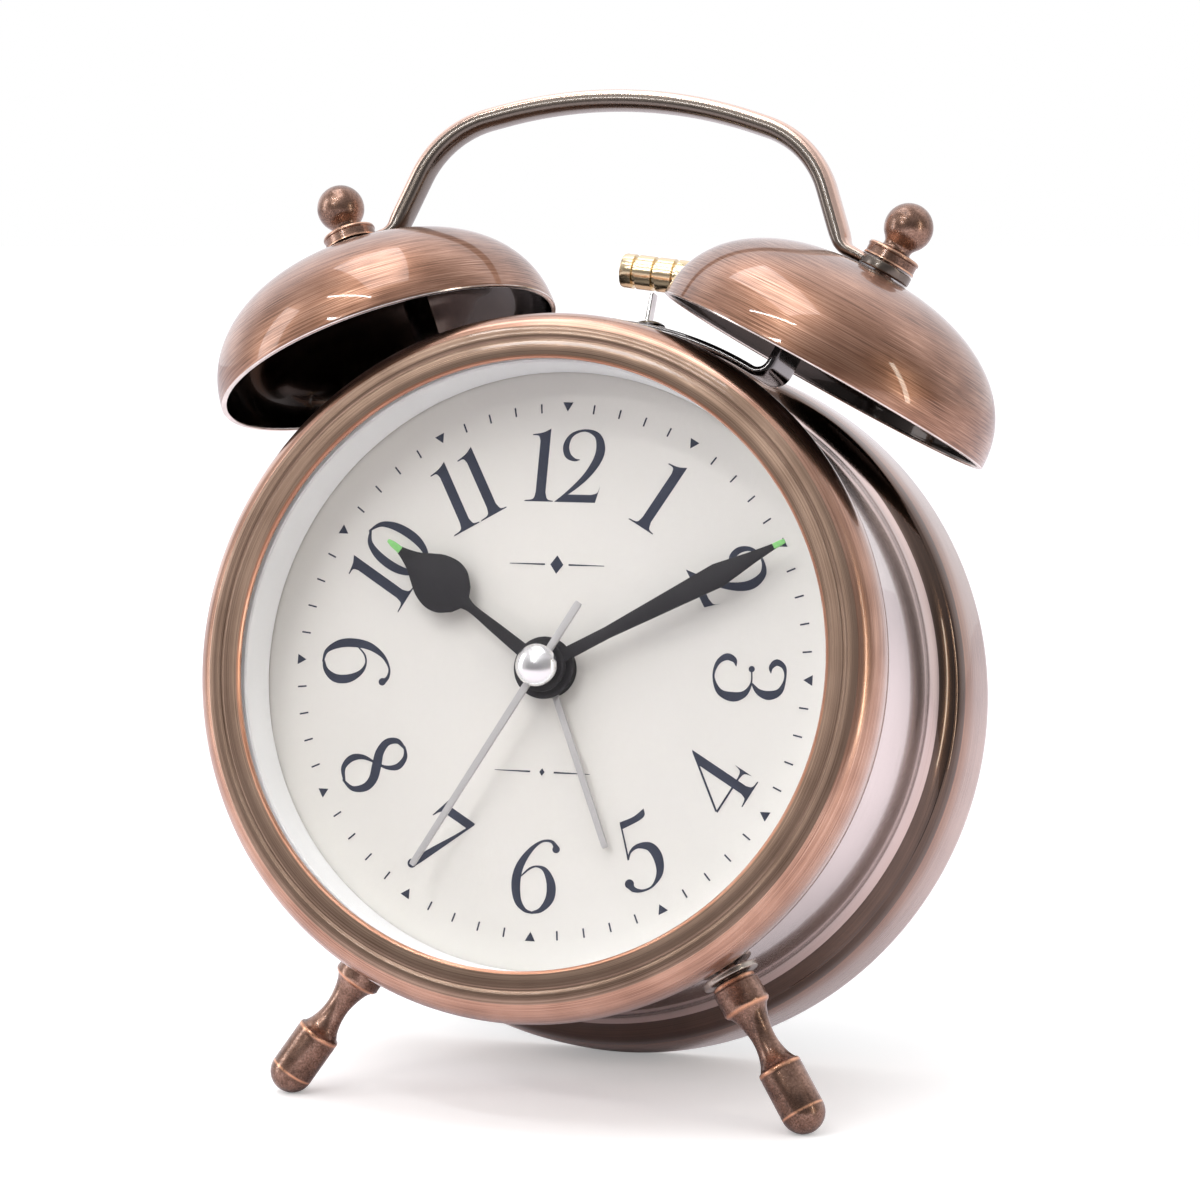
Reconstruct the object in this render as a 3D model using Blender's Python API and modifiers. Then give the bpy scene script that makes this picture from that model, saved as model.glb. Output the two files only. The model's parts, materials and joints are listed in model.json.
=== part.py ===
"""Twin-bell alarm clock, modelled as separate pieces.

Lengths at the top of this file are in millimetres and angles in degrees; the scene is in metres, +Z up.
The pieces are laid out in the clock's own frame, which an empty then leans back:
  x  to the right, seen from the front
  y  into the clock, 0 at the front face of the dial
  z  towards 12 o'clock, 0 at the middle of the dial
"""
import bpy
import bmesh
import math
from mathutils import Euler, Matrix, Vector

MM = 0.001
GAP = 0.3                    # space kept between neighbouring pieces
STEPS_BODY = 40              # facets round the big rings
STEPS_BELL = 28
STEPS_SMALL = 16
STEPS_TUBE = 12

# ---- body -------------------------------------------------------------------------------------
LEAN = 13.26                 # the clock leans back by this angle
DIAL_R = 50.4
DIAL_T = 0.8
CHAPTER_R = 48.4             # inner wall of the white ring between lens and dial
BEZEL_R = 56.7
BEZEL_OPENING_R = 48.5
BEZEL_FRONT_Y = -13.3
LENS_Y = (-11.6, -10.2)
LENS_R = 51.4
WAIST_R = 54.8
WAIST_FRONT_Y = 0.7
WAIST_REAR_Y = 32.0
CASE_WALL = 0.9
FLARE_R = 6.5                # radius of the concave flare behind the waist
FLARE_ANGLE = 62.0
SEAM_Y = 38.3
REAR_R = 60.8
REAR_R_Y = 53.8              # the rear ring is widest here, and stands on the floor here
REAR_Y = 56.1
REAR_OPENING_R = 57.2
COVER_Y = (52.7, 54.2)
COVER_SCREW_CIRCLE_R = 54.4
COVER_SCREW_ANGLES = (30, 150, 270)
COVER_SCREW_HOLE_R = 1.3
KNOB_HOLE_R = 1.6
HAMMER_SLOT_X = (-16.0, 17.0)
HAMMER_SLOT_HALF_W = 2.2

# ---- legs -------------------------------------------------------------------------------------
HARDWARE_Y = 11.0            # plane of the legs, the bells and the handle
LEG_ANGLE = 32.9             # from 6 o'clock
LEG_TOP = 56.5               # distance from the dial's axis to the top of the leg's collar
LEG_COLLAR_R = 3.9
LEG_NECK_R = 1.9
LEG_FOOT_R = 3.6
LEG_STUD_R = 1.6
WASHER_R = 4.8
WASHER_T = 1.0

# ---- bells, bracket and handle ----------------------------------------------------------------
BELL_ROLL = 1.8              # the bracket sits turned a little clockwise on the case
BELL_DISTANCE = 63.2         # dial axis to the middle of a bell's rim
BELL_ANGLE = 36.4            # of that middle, from 12 o'clock
BELL_TILT = 24.8             # of the bell's own axis, from 12 o'clock
BELL_R = 29.5
BELL_H = 19.5
BELL_WALL = 0.9
STUD_R = 1.6
STUD_HOLE_R = 1.9
BRACKET_R = 58.0             # middle of the strip where it follows the case
BRACKET_T = 1.5
BRACKET_W = 12.0
BRACKET_ARM_U = -7.4         # the rising arm, across the bell's axis
BRACKET_LOW_H = -4.1         # lower end of the rising arm, up the bell's axis
BRACKET_BENDS = (2.4, 2.6)
BRACKET_SCREW_X = (-7.5, 7.5)
BRACKET_SCREW_HEAD_R = 2.6
PAD_W = 9.0
PAD_ANGLE = 12               # the pad under the bracket reaches this far from 12 o'clock
BELL_NUT_H = (14.2, 16.3)
NUT_R = 3.2
NUT_T = 2.2
HANDLE_TOP_Z = 96.5
HANDLE_CROWN_R = 77.0
HANDLE_CROWN_X = 22.0
HANDLE_LEG_X = 36.1          # a point on the handle's side, and how far the side leans out
HANDLE_LEG_Z = 80.2
HANDLE_LEG_LEAN = 21.1
HANDLE_BENDS = (17.0, 3.2)
HANDLE_FLATTENING = (0.95, 0.8, 0.66, 0.56, 0.5, 0.457, 0.457)   # thickness towards the tab's end
HANDLE_T = 3.5
HANDLE_W = 5.0
TAB_T = 1.6
TAB_R = 4.5
FINIAL_COLLAR_R = 4.5
FINIAL_COLLAR_H = (21.7, 23.9)
FINIAL_NECK_R = 2.75
FINIAL_BALL_R = 4.0
FINIAL_BALL_H = 28.4

# ---- hammer -----------------------------------------------------------------------------------
HAMMER_Y = 19.0
HAMMER_PIVOT_Z = 4.0
HAMMER_LEAN = 6.6            # at rest, clockwise from 12 o'clock
HAMMER_REACH = 65.0          # pivot to the middle of the head
HAMMER_HEAD_R = 2.9
HAMMER_HEAD_L = 11.9
HAMMER_ARM_W = 2.4
HAMMER_ARM_T = 0.7
HAMMER_HUB_R = 2.6
HAMMER_PIN_R = 0.8
ARMATURE_Z = (10.0, 18.5)    # the wider part of the arm that faces the magnet
ARMATURE_X = 2.0
MAGNET_AT = (16.0, 18.4, 18.0)

# ---- movement ---------------------------------------------------------------------------------
GEAR_MODULE = 0.5
GEAR_T = 1.0
CANNON_TEETH = 10
MOTION_TEETH = 30
MOTION_PINION_TEETH = 8
HOUR_TEETH = 32
ALARM_TEETH = 32
KNOB_TEETH = 10
MOTION_DISTANCE = GEAR_MODULE * (CANNON_TEETH + MOTION_TEETH) / 2
ALARM_DISTANCE = GEAR_MODULE * (ALARM_TEETH + KNOB_TEETH) / 2
MOTION_AT = (0.0, -MOTION_DISTANCE)
TIME_KNOB_AT = (MOTION_DISTANCE, -MOTION_DISTANCE)
ALARM_KNOB_AT = (-ALARM_DISTANCE, 0.0)
ALARM_WHEEL_Y = 3.2
HOUR_WHEEL_Y = 5.2
CANNON_Y = 7.2
SECOND_ARBOR_R = 0.6
MINUTE_TUBE_R = (0.9, 1.5)
HOUR_TUBE_R = (1.8, 2.4)
ALARM_TUBE_R = (2.7, 3.3)
BUSHING_R = (3.6, 4.3)
MOTION_PIN_R = 0.35
BORE_ROOM = 0.15             # between a hand and the tube it sits on
HAND_ANGLES = {"hour": 305.0, "minute": 61.0, "second": 210.0, "alarm": 157.0}
HAND_Y = {"alarm": -1.5, "hour": -2.8, "minute": -4.2, "second": -5.6}
HAND_T = 0.5
MOVEMENT_HALF = 27.0
MOVEMENT_Y = (1.2, 12.5, 24.0)   # front wall, joint between the halves, rear wall
MOVEMENT_WALL = 1.3
BATTERY_R = 7.1
BATTERY_L = 49.5
BATTERY_AT = (45.0, -32.5)       # y, z of the battery's axis
CONTACT_HALF = 5.0
BAY_HALF_X = 27.2
BAY_Z = (-40.5, -24.5)
BAY_WALL = 1.2
BAY_FRONT_Y = 36.0
DOOR_FRONT_Y = 52.9
DOOR_RIDGES = (-1.8, 0.0, 1.8)
KNOB_R = 5.0
KNOB_T = 4.5
KNOB_FLUTES = 12
KNOB_SHAFT_R = 1.2
SWITCH_AT = (20.0, 20.0)
SWITCH_HALF_H = 1.1
DRIVE_COIL_AT = (-19.5, 10.0, -8.0)
MOTOR_R = 6.0
MOTOR_Y = (9.4, 13.6)

COLOURS = {                  # colour, metallic, roughness
    "copper": ((0.55, 0.30, 0.20), 1.0, 0.28),
    "dark_copper": ((0.30, 0.19, 0.14), 1.0, 0.35),
    "gunmetal": ((0.20, 0.17, 0.15), 1.0, 0.22),
    "black_nickel": ((0.04, 0.04, 0.04), 1.0, 0.15),
    "steel": ((0.62, 0.62, 0.62), 1.0, 0.30),
    "brass": ((0.75, 0.55, 0.25), 1.0, 0.25),
    "chrome": ((0.80, 0.80, 0.80), 1.0, 0.06),
    "white_plastic": ((0.80, 0.82, 0.90), 0.0, 0.35),
    "cream": ((0.85, 0.82, 0.72), 0.0, 0.55),
    "black_plastic": ((0.03, 0.03, 0.03), 0.0, 0.45),
    "black_paint": ((0.02, 0.02, 0.02), 0.0, 0.50),
    "grey_paint": ((0.60, 0.60, 0.57), 0.0, 0.45),
    "glass": ((0.95, 0.97, 0.97), 0.0, 0.02),
    "circuit": ((0.05, 0.25, 0.10), 0.0, 0.50),
    "winding": ((0.60, 0.25, 0.10), 1.0, 0.40),
    "gear_plastic": ((0.85, 0.83, 0.75), 0.0, 0.45),
    "battery_wrap": ((0.10, 0.12, 0.16), 0.0, 0.40),
}


# ---- scene and materials ----------------------------------------------------------------------
def clear_scene():
    for old in list(bpy.data.objects):
        bpy.data.objects.remove(old, do_unlink=True)


def new_collection(name):
    group = bpy.data.collections.new(name)
    bpy.context.scene.collection.children.link(group)
    return group


def finish(obj, colour):
    """Give the object its own material."""
    rgb, metallic, roughness = COLOURS[colour]
    material = bpy.data.materials.new(obj.name + "_" + colour)
    material.use_nodes = True
    shader = material.node_tree.nodes["Principled BSDF"]
    shader.inputs["Base Color"].default_value = (*rgb, 1.0)
    shader.inputs["Metallic"].default_value = metallic
    shader.inputs["Roughness"].default_value = roughness
    material.diffuse_color = (*rgb, 1.0)
    obj.data.materials.clear()
    obj.data.materials.append(material)


clear_scene()
PARTS = new_collection("alarm_clock")
CUTTERS = new_collection("cutters")


def new_empty(name, parent=None, at=(0, 0, 0), turn=(0, 0, 0)):
    empty = bpy.data.objects.new(name, None)
    PARTS.objects.link(empty)
    put(empty, parent, at, turn)
    return empty


def put(obj, parent, at=(0, 0, 0), turn=(0, 0, 0)):
    """Place an object in its parent's frame: at in millimetres, turn in degrees."""
    obj.parent = parent
    obj.location = Vector(at) * MM
    obj.rotation_euler = Euler([math.radians(a) for a in turn])


clock = new_empty("clock_frame", turn=(-LEAN, 0, 0))
hardware = new_empty("hardware_frame", clock, turn=(0, BELL_ROLL, 0))


def new_part(name, mesh, colour, parent=clock, at=(0, 0, 0), turn=(0, 0, 0), smooth=35):
    part = bpy.data.objects.new(name, mesh)
    PARTS.objects.link(part)
    put(part, parent, at, turn)
    finish(part, colour)
    if smooth:
        mesh.shade_smooth()
        mesh.set_sharp_from_angle(angle=math.radians(smooth))
    return part


def as_cutter(obj):
    for group in list(obj.users_collection):
        group.objects.unlink(obj)
    CUTTERS.objects.link(obj)
    obj.hide_render = True
    obj.display_type = "WIRE"
    return obj


def combine(obj, other, operation="DIFFERENCE"):
    """Cut the other body out of the object, or join it on with UNION."""
    as_cutter(other)
    boolean = obj.modifiers.new(operation.lower() + "_" + other.name, "BOOLEAN")
    boolean.operation = operation
    boolean.solver = "EXACT"
    boolean.object = other
    return obj


# ---- shapes -----------------------------------------------------------------------------------
FACING_REAR = (-90, 0, 0)    # turns an object's +Z onto the clock's +y


def turned(name, outline, colour, steps=STEPS_SMALL, ring=False, **place):
    """A turned body about its own Z. The outline is (radius, height), down the outer side from the top.

    A ring's outline is a closed loop: down the outer side, then up the inner side.
    """
    mesh = bpy.data.meshes.new(name)
    points = [(r * MM, 0, h * MM) for r, h in outline]
    edges = [(i, i + 1) for i in range(len(points) - 1)]
    if ring:
        edges.append((len(points) - 1, 0))
    mesh.from_pydata(points, edges, [])
    part = new_part(name, mesh, colour, smooth=0, **place)
    screw = part.modifiers.new("turn", "SCREW")
    screw.angle = 2 * math.pi
    screw.steps = steps
    screw.render_steps = steps
    screw.axis = "Z"
    screw.use_merge_vertices = True
    screw.merge_threshold = 0.00001
    screw.use_smooth_shade = True
    return part


def tube_outline(r_in, r_out, bottom, top):
    return [(r_out, top), (r_out, bottom), (r_in, bottom), (r_in, top)]


def rod_outline(radius, bottom, top):
    return [(0, top), (radius, top), (radius, bottom), (0, bottom)]


def arc(centre, radius, start, end, count):
    """Points on an arc; angles in degrees from the first axis towards the second."""
    angles = [math.radians(start + (end - start) * i / count) for i in range(count + 1)]
    return [(centre[0] + radius * math.cos(a), centre[1] + radius * math.sin(a)) for a in angles]


def box(name, low, high, colour, **place):
    """A block between two corners, with its origin at its middle."""
    size = [(b - a) * MM for a, b in zip(low, high)]
    middle = [(a + b) / 2 for a, b in zip(low, high)]
    shape = bmesh.new()
    bmesh.ops.create_cube(shape, size=1.0, matrix=Matrix.Diagonal((*size, 1.0)))
    mesh = bpy.data.meshes.new(name)
    shape.to_mesh(mesh)
    shape.free()
    return new_part(name, mesh, colour, at=middle, smooth=0, **place)


def plate(name, outlines, thickness, colour, at=(0, 0, 0), turn=0, parent=clock, bevel=0.0):
    """A flat piece in the clock's x-z plane, centred on y = at[1], turned clockwise about y.

    The first outline is the edge and any others are holes.
    """
    curve = bpy.data.curves.new(name + "_outline", "CURVE")
    curve.dimensions = "2D"
    curve.fill_mode = "BOTH"
    curve.extrude = thickness / 2 * MM
    for outline in outlines:
        spline = curve.splines.new("POLY")
        spline.points.add(len(outline) - 1)
        for point, (x, z) in zip(spline.points, outline):
            point.co = (x * MM, z * MM, 0, 1)
        spline.use_cyclic_u = True
    source = bpy.data.objects.new(name + "_outline", curve)
    PARTS.objects.link(source)
    mesh = bpy.data.meshes.new_from_object(source.evaluated_get(bpy.context.evaluated_depsgraph_get()))
    bpy.data.objects.remove(source, do_unlink=True)
    shape = bmesh.new()
    shape.from_mesh(mesh)
    bmesh.ops.remove_doubles(shape, verts=shape.verts, dist=0.000005)
    bmesh.ops.rotate(shape, verts=shape.verts, matrix=Matrix.Rotation(math.pi / 2, 3, "X"))
    bmesh.ops.recalc_face_normals(shape, faces=shape.faces)
    shape.to_mesh(mesh)
    shape.free()
    part = new_part(name, mesh, colour, parent=parent, at=at, turn=(0, turn, 0))
    if bevel:
        rounding = part.modifiers.new("rounding", "BEVEL")
        rounding.width = bevel * MM
        rounding.segments = 1
        rounding.limit_method = "ANGLE"
        rounding.angle_limit = math.radians(60)
    return part


def circle(radius, count, centre=(0, 0), start=0.0):
    return arc(centre, radius, start, start + 360 * (count - 1) / count, count - 1)


def filleted(points, radii, count=5):
    """A path through the points, each inner corner rounded by an arc of its radius."""
    path = [Vector(points[0])]
    for before, corner, after, radius in zip(points, points[1:], points[2:], radii):
        corner = Vector(corner)
        into = (corner - Vector(before)).normalized()
        out = (Vector(after) - corner).normalized()
        turn = into.angle_signed(out)
        setback = radius * math.tan(abs(turn) / 2)
        start = corner - into * setback
        side = Vector((into.y, -into.x)) * (1 if turn > 0 else -1)
        centre = start + side * radius
        for i in range(count + 1):
            swing = Matrix.Rotation(-turn * i / count, 2)
            path.append(centre + swing @ (start - centre))
    path.append(Vector(points[-1]))
    return path


def band(path, half_thickness):
    """Closed outline of a strip that follows the path; half_thickness is a number for each point."""
    left = []
    right = []
    for i, point in enumerate(path):
        ahead = path[min(i + 1, len(path) - 1)]
        behind = path[max(i - 1, 0)]
        along = (ahead - behind).normalized()
        across = Vector((-along.y, along.x)) * half_thickness[i]
        left.append(tuple(point + across))
        right.append(tuple(point - across))
    return left + right[::-1]


def circle_point(radius, angle):
    """A point at an angle clockwise from 12 o'clock."""
    return (radius * math.sin(math.radians(angle)), radius * math.cos(math.radians(angle)))


# ---- body -------------------------------------------------------------------------------------
def bracket_screw_hole(x, radius):
    """Cutter for a bracket screw's hole through a piece at the given distance from the dial's axis."""
    z = math.sqrt(radius ** 2 - x ** 2)
    return turned("bracket_screw_hole", rod_outline(STUD_HOLE_R, -5, 5), "steel", STEPS_TUBE,
                  parent=hardware, at=(x, HARDWARE_Y, z))


def make_case():
    flare_centre = (WAIST_R + FLARE_R, WAIST_REAR_Y)
    outer = [(WAIST_R, WAIST_FRONT_Y)] + arc(flare_centre, FLARE_R, 180, 180 - FLARE_ANGLE, 5)
    inner_r = FLARE_R + CASE_WALL
    inner_angle = math.degrees(math.asin(FLARE_R * math.sin(math.radians(FLARE_ANGLE)) / inner_r))
    inner = [(WAIST_R - CASE_WALL, WAIST_FRONT_Y)]
    inner += arc(flare_centre, inner_r, 180, 180 - inner_angle, 4)
    shell = turned("case_shell", outer[::-1] + inner, "copper", STEPS_BODY, True, turn=FACING_REAR)
    slot = box("hammer_slot", (HAMMER_SLOT_X[0], HAMMER_Y - HAMMER_SLOT_HALF_W, WAIST_R - 10),
               (HAMMER_SLOT_X[1], HAMMER_Y + HAMMER_SLOT_HALF_W, WAIST_R + 5), "steel")
    combine(shell, slot)
    for side in (-1, 1):
        hole = turned("leg_hole", rod_outline(LEG_STUD_R + GAP, -60, -50), "steel", STEPS_TUBE,
                      at=(0, HARDWARE_Y, 0), turn=(0, -side * LEG_ANGLE, 0))
        combine(shell, hole)
    for x in BRACKET_SCREW_X:
        combine(shell, bracket_screw_hole(x, WAIST_R))


def make_bezel():
    opening = BEZEL_OPENING_R
    outer = [(WAIST_R + 0.5, 0.4), (BEZEL_R - 0.5, -2.5), (BEZEL_R, -7.0), (BEZEL_R - 0.5, -10.2),
             (BEZEL_R - 2.2, -12.4), (BEZEL_R - 4.4, BEZEL_FRONT_Y), (opening + 1.6, BEZEL_FRONT_Y),
             (opening + 0.2, -12.7), (opening, LENS_Y[0] - GAP)]
    inner = [(LENS_R + GAP, LENS_Y[0] - GAP), (LENS_R + 1.4, -11.2), (BEZEL_R - 1.8, -9.0),
             (BEZEL_R - 1.4, -6.0), (WAIST_R - 0.6, 0.4)]
    turned("bezel", outer + inner, "copper", STEPS_BODY, True, turn=FACING_REAR)
    turned("lens", [(0, LENS_Y[1]), (LENS_R, LENS_Y[1]), (LENS_R, LENS_Y[0]), (0, LENS_Y[0])], "glass",
           STEPS_BODY, turn=FACING_REAR)
    turned("dial_ring", tube_outline(CHAPTER_R, CHAPTER_R + 1.6, LENS_Y[1] + GAP, -GAP), "white_plastic",
           STEPS_BODY, True, turn=FACING_REAR)
    plate("dial", [circle(DIAL_R, STEPS_BODY), circle(BUSHING_R[1] + GAP, STEPS_SMALL)], DIAL_T, "cream",
          at=(0, DIAL_T / 2, 0))


def make_rear():
    lip = REAR_OPENING_R
    outer = [(lip, REAR_Y), (REAR_R - 1.4, REAR_Y), (REAR_R - 0.4, REAR_Y - 0.7), (REAR_R, REAR_R_Y),
             (REAR_R - 0.3, 45), (REAR_R - 0.9, 41), (REAR_R - 1.7, 39.2), (REAR_R - 2.6, SEAM_Y)]
    inner = [(REAR_R - 4.0, SEAM_Y), (REAR_R - 2.2, 40.4), (REAR_R - 1.4, 46), (REAR_R - 1.2, 51.2),
             (52.0, 51.2), (52.0, 52.3), (REAR_R - 1.2, 52.3), (REAR_R - 1.2, 54.6), (lip, 55.2)]
    ring = turned("rear_ring", outer + inner, "copper", STEPS_BODY, True, turn=FACING_REAR)

    front, back = COVER_Y
    cover = turned("back_cover", rod_outline(lip - GAP, front, back), "black_plastic", STEPS_BODY,
                   turn=FACING_REAR)
    tray = box("bay_block", (-BAY_HALF_X - BAY_WALL, BAY_FRONT_Y, BAY_Z[0] - BAY_WALL),
               (BAY_HALF_X + BAY_WALL, back - 0.4, BAY_Z[1] + BAY_WALL), "black_plastic")
    combine(cover, tray, "UNION")
    bay = box("bay", (-BAY_HALF_X, BAY_FRONT_Y + BAY_WALL, BAY_Z[0]), (BAY_HALF_X, back + 2, BAY_Z[1]),
              "steel")
    combine(cover, bay)
    for x, z in (TIME_KNOB_AT, ALARM_KNOB_AT):
        hole = turned("knob_hole", rod_outline(KNOB_HOLE_R, front - 2, back + 2), "steel", STEPS_TUBE,
                      at=(x, 0, z), turn=FACING_REAR)
        combine(cover, hole)
    slot = box("switch_slot", (SWITCH_AT[0] - 4.5, front - 2, SWITCH_AT[1] - 1.4),
               (SWITCH_AT[0] + 4.5, back + 2, SWITCH_AT[1] + 1.4), "steel")
    combine(cover, slot)
    for number, angle in enumerate(COVER_SCREW_ANGLES, start=1):
        x, z = circle_point(COVER_SCREW_CIRCLE_R, 90 - angle)
        for piece in (ring, cover):
            hole = turned("screw_hole", rod_outline(COVER_SCREW_HOLE_R, 49, back + 3), "steel", STEPS_TUBE,
                          at=(x, 0, z), turn=FACING_REAR)
            combine(piece, hole)
        head = back + GAP
        turned("cover_screw_%d" % number,
               [(0, head + 1.1), (1.7, head + 1.1), (2.2, head + 0.6), (2.2, head), (1.0, head),
                (1.0, 48.5), (0, 48.0)], "steel", STEPS_TUBE, at=(x, 0, z), turn=FACING_REAR)


# ---- legs -------------------------------------------------------------------------------------
def leg_reach():
    """Distance from the dial's axis to the middle of the foot's round end.

    The feet and the bottom of the rear ring touch one floor when the clock leans back by LEAN.
    """
    lean = math.radians(LEAN)
    floor = REAR_R * math.cos(lean) + REAR_R_Y * math.sin(lean)
    return ((floor - LEG_FOOT_R - HARDWARE_Y * math.sin(lean))
            / (math.cos(math.radians(LEG_ANGLE)) * math.cos(lean)))


def make_leg(name, side):
    end = leg_reach()
    dome = [(r, -h) for h, r in arc((end, 0), LEG_FOOT_R, 90, 0, 5)]
    outline = [(0, -49.0), (LEG_STUD_R, -49.0), (LEG_STUD_R, -LEG_TOP), (LEG_COLLAR_R - 0.3, -LEG_TOP),
               (LEG_COLLAR_R, -LEG_TOP - 0.5), (LEG_COLLAR_R, -LEG_TOP - 4.6),
               (LEG_COLLAR_R - 0.8, -LEG_TOP - 5.4), (LEG_NECK_R + 0.3, -LEG_TOP - 8.0),
               (LEG_NECK_R, -LEG_TOP - 10.2), (LEG_NECK_R + 0.3, -LEG_TOP - 12.4),
               (LEG_FOOT_R - 0.5, -LEG_TOP - 15.2), (LEG_FOOT_R, -LEG_TOP - 15.9)] + dome
    frame = {"at": (0, HARDWARE_Y, 0), "turn": (0, -side * LEG_ANGLE, 0)}
    turned(name, outline, "dark_copper", STEPS_SMALL, **frame)
    washer = tube_outline(LEG_STUD_R + GAP, WASHER_R, -LEG_TOP + GAP, -LEG_TOP + GAP + WASHER_T)
    turned(name + "_washer", washer, "steel", STEPS_SMALL, True, **frame)
    nut_base = CASE_WALL + 1.0 - WAIST_R
    nut = tube_outline(LEG_STUD_R + GAP, NUT_R, nut_base, nut_base + NUT_T)
    turned(name + "_nut", nut, "steel", 6, True, **frame)


# ---- bells, bracket, handle -------------------------------------------------------------------
def bell_point(u, h):
    """Hardware-frame x, z of a point beside the right bell: u across its axis, h up from its rim."""
    a = math.radians(BELL_ANGLE)
    t = math.radians(BELL_TILT)
    return Vector((BELL_DISTANCE * math.sin(a) + u * math.cos(t) + h * math.sin(t),
                   BELL_DISTANCE * math.cos(a) - u * math.sin(t) + h * math.cos(t)))


def bell_frame(side):
    x, z = bell_point(0, 0)
    return {"parent": hardware, "at": (side * x, HARDWARE_Y, z), "turn": (0, side * BELL_TILT, 0)}


def dome_outline(radius, height, count):
    """From near the crown down to the rim: a dome whose sides end parallel to its axis."""
    points = []
    for i in range(count + 1):
        t = math.radians(90 * (1 - i / count))
        points.append((radius * math.cos(t) ** 0.86, height * math.sin(t) ** 0.92))
    return points


def make_bell(name, side):
    outer = [(STUD_HOLE_R, BELL_H)] + dome_outline(BELL_R, BELL_H, 7)[1:]
    inner = dome_outline(BELL_R - BELL_WALL, BELL_H - BELL_WALL, 6)[1:][::-1]
    inner.append((STUD_HOLE_R, BELL_H - BELL_WALL))
    turned(name + "_bell", outer + inner, "copper", STEPS_BELL, True, **bell_frame(side))
    ball = [(r, FINIAL_BALL_H + h) for r, h in arc((0, 0), FINIAL_BALL_R, 90, -43, 6)]
    low, high = FINIAL_COLLAR_H
    finial = ball + [(FINIAL_NECK_R, high), (FINIAL_COLLAR_R - 0.3, high), (FINIAL_COLLAR_R, high - 0.3),
                     (FINIAL_COLLAR_R, low), (STUD_R, low), (STUD_R, 13.2), (0, 13.2)]
    turned(name + "_finial", finial, "dark_copper", STEPS_SMALL, **bell_frame(side))
    nut = tube_outline(STUD_HOLE_R, NUT_R, *BELL_NUT_H)
    turned(name + "_bell_nut", nut, "steel", 6, True, **bell_frame(side))


def make_bracket():
    tab_h = BELL_H - BELL_WALL - 2 * GAP - BRACKET_T / 2
    low_corner = bell_point(BRACKET_ARM_U, BRACKET_LOW_H)
    end_angle = math.degrees(math.atan2(*low_corner)) - 2.6
    along_case = [circle_point(BRACKET_R, end_angle * i / 6) for i in range(7)]
    corners = [along_case[-1], low_corner, bell_point(BRACKET_ARM_U, tab_h), bell_point(5.0, tab_h)]
    right = [Vector(p) for p in along_case[:-1]] + filleted(corners, BRACKET_BENDS, 4)
    path = [Vector((-p.x, p.y)) for p in right[:0:-1]] + right
    outline = band(path, [BRACKET_T / 2] * len(path))
    bracket = plate("bell_bracket", [outline], BRACKET_W, "black_nickel", at=(0, HARDWARE_Y, 0),
                    parent=hardware)
    for side in (-1, 1):
        hole = turned("bracket_hole", rod_outline(STUD_HOLE_R, 12, 20), "steel", STEPS_TUBE,
                      **bell_frame(side))
        combine(bracket, hole)
    upper = [circle_point(BRACKET_R - BRACKET_T / 2 - GAP, a) for a in range(-PAD_ANGLE, PAD_ANGLE + 1, 4)]
    lower = [circle_point(WAIST_R + GAP, a) for a in range(PAD_ANGLE, -PAD_ANGLE - 1, -4)]
    pad = plate("bracket_pad", [upper + lower], PAD_W, "black_plastic", at=(0, HARDWARE_Y, 0),
                parent=hardware)
    head_r = BRACKET_SCREW_HEAD_R
    seat = BRACKET_T / 2 + GAP + 0.05
    for number, x in enumerate(BRACKET_SCREW_X, start=1):
        combine(bracket, bracket_screw_hole(x, BRACKET_R))
        combine(pad, bracket_screw_hole(x, BRACKET_R))
        screw = [(0, 2.0), (head_r - 0.8, 2.0), (head_r, 1.5), (head_r, seat), (STUD_R, seat),
                 (STUD_R, -7.5), (0, -7.5)]
        turned("bracket_screw_%d" % number, screw, "steel", STEPS_TUBE, parent=hardware,
               at=(x, HARDWARE_Y, math.sqrt(BRACKET_R ** 2 - x ** 2)))


def handle_path():
    """Right half of the handle's middle line, from its crown to the end of its flat tab."""
    crown_centre = (0, HANDLE_TOP_Z - HANDLE_CROWN_R)
    crown_angle = math.degrees(math.asin(HANDLE_CROWN_X / HANDLE_CROWN_R))
    crown = [Vector(p) for p in arc(crown_centre, HANDLE_CROWN_R, 90, 90 - crown_angle, 4)]
    along_crown = Vector((math.cos(math.radians(crown_angle)), -math.sin(math.radians(crown_angle))))
    lean = math.radians(HANDLE_LEG_LEAN)
    down_side = Vector((math.sin(lean), -math.cos(lean)))
    on_side = Vector((HANDLE_LEG_X, HANDLE_LEG_Z))
    tab_h = BELL_H + GAP + TAB_T / 2
    tab = bell_point(0, tab_h)
    tab_end = bell_point(2.0, tab_h)
    shoulder = crossing(crown[-1], along_crown, on_side, down_side)
    foot = crossing(on_side, down_side, tab, (tab_end - tab).normalized())
    return crown[:-1] + filleted([crown[-1], shoulder, foot, tab_end], HANDLE_BENDS, 5)


def crossing(a, along_a, b, along_b):
    """Where two lines in a plane cross."""
    s = (b - a).cross(along_b) / along_a.cross(along_b)
    return a + along_a * s


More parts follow.
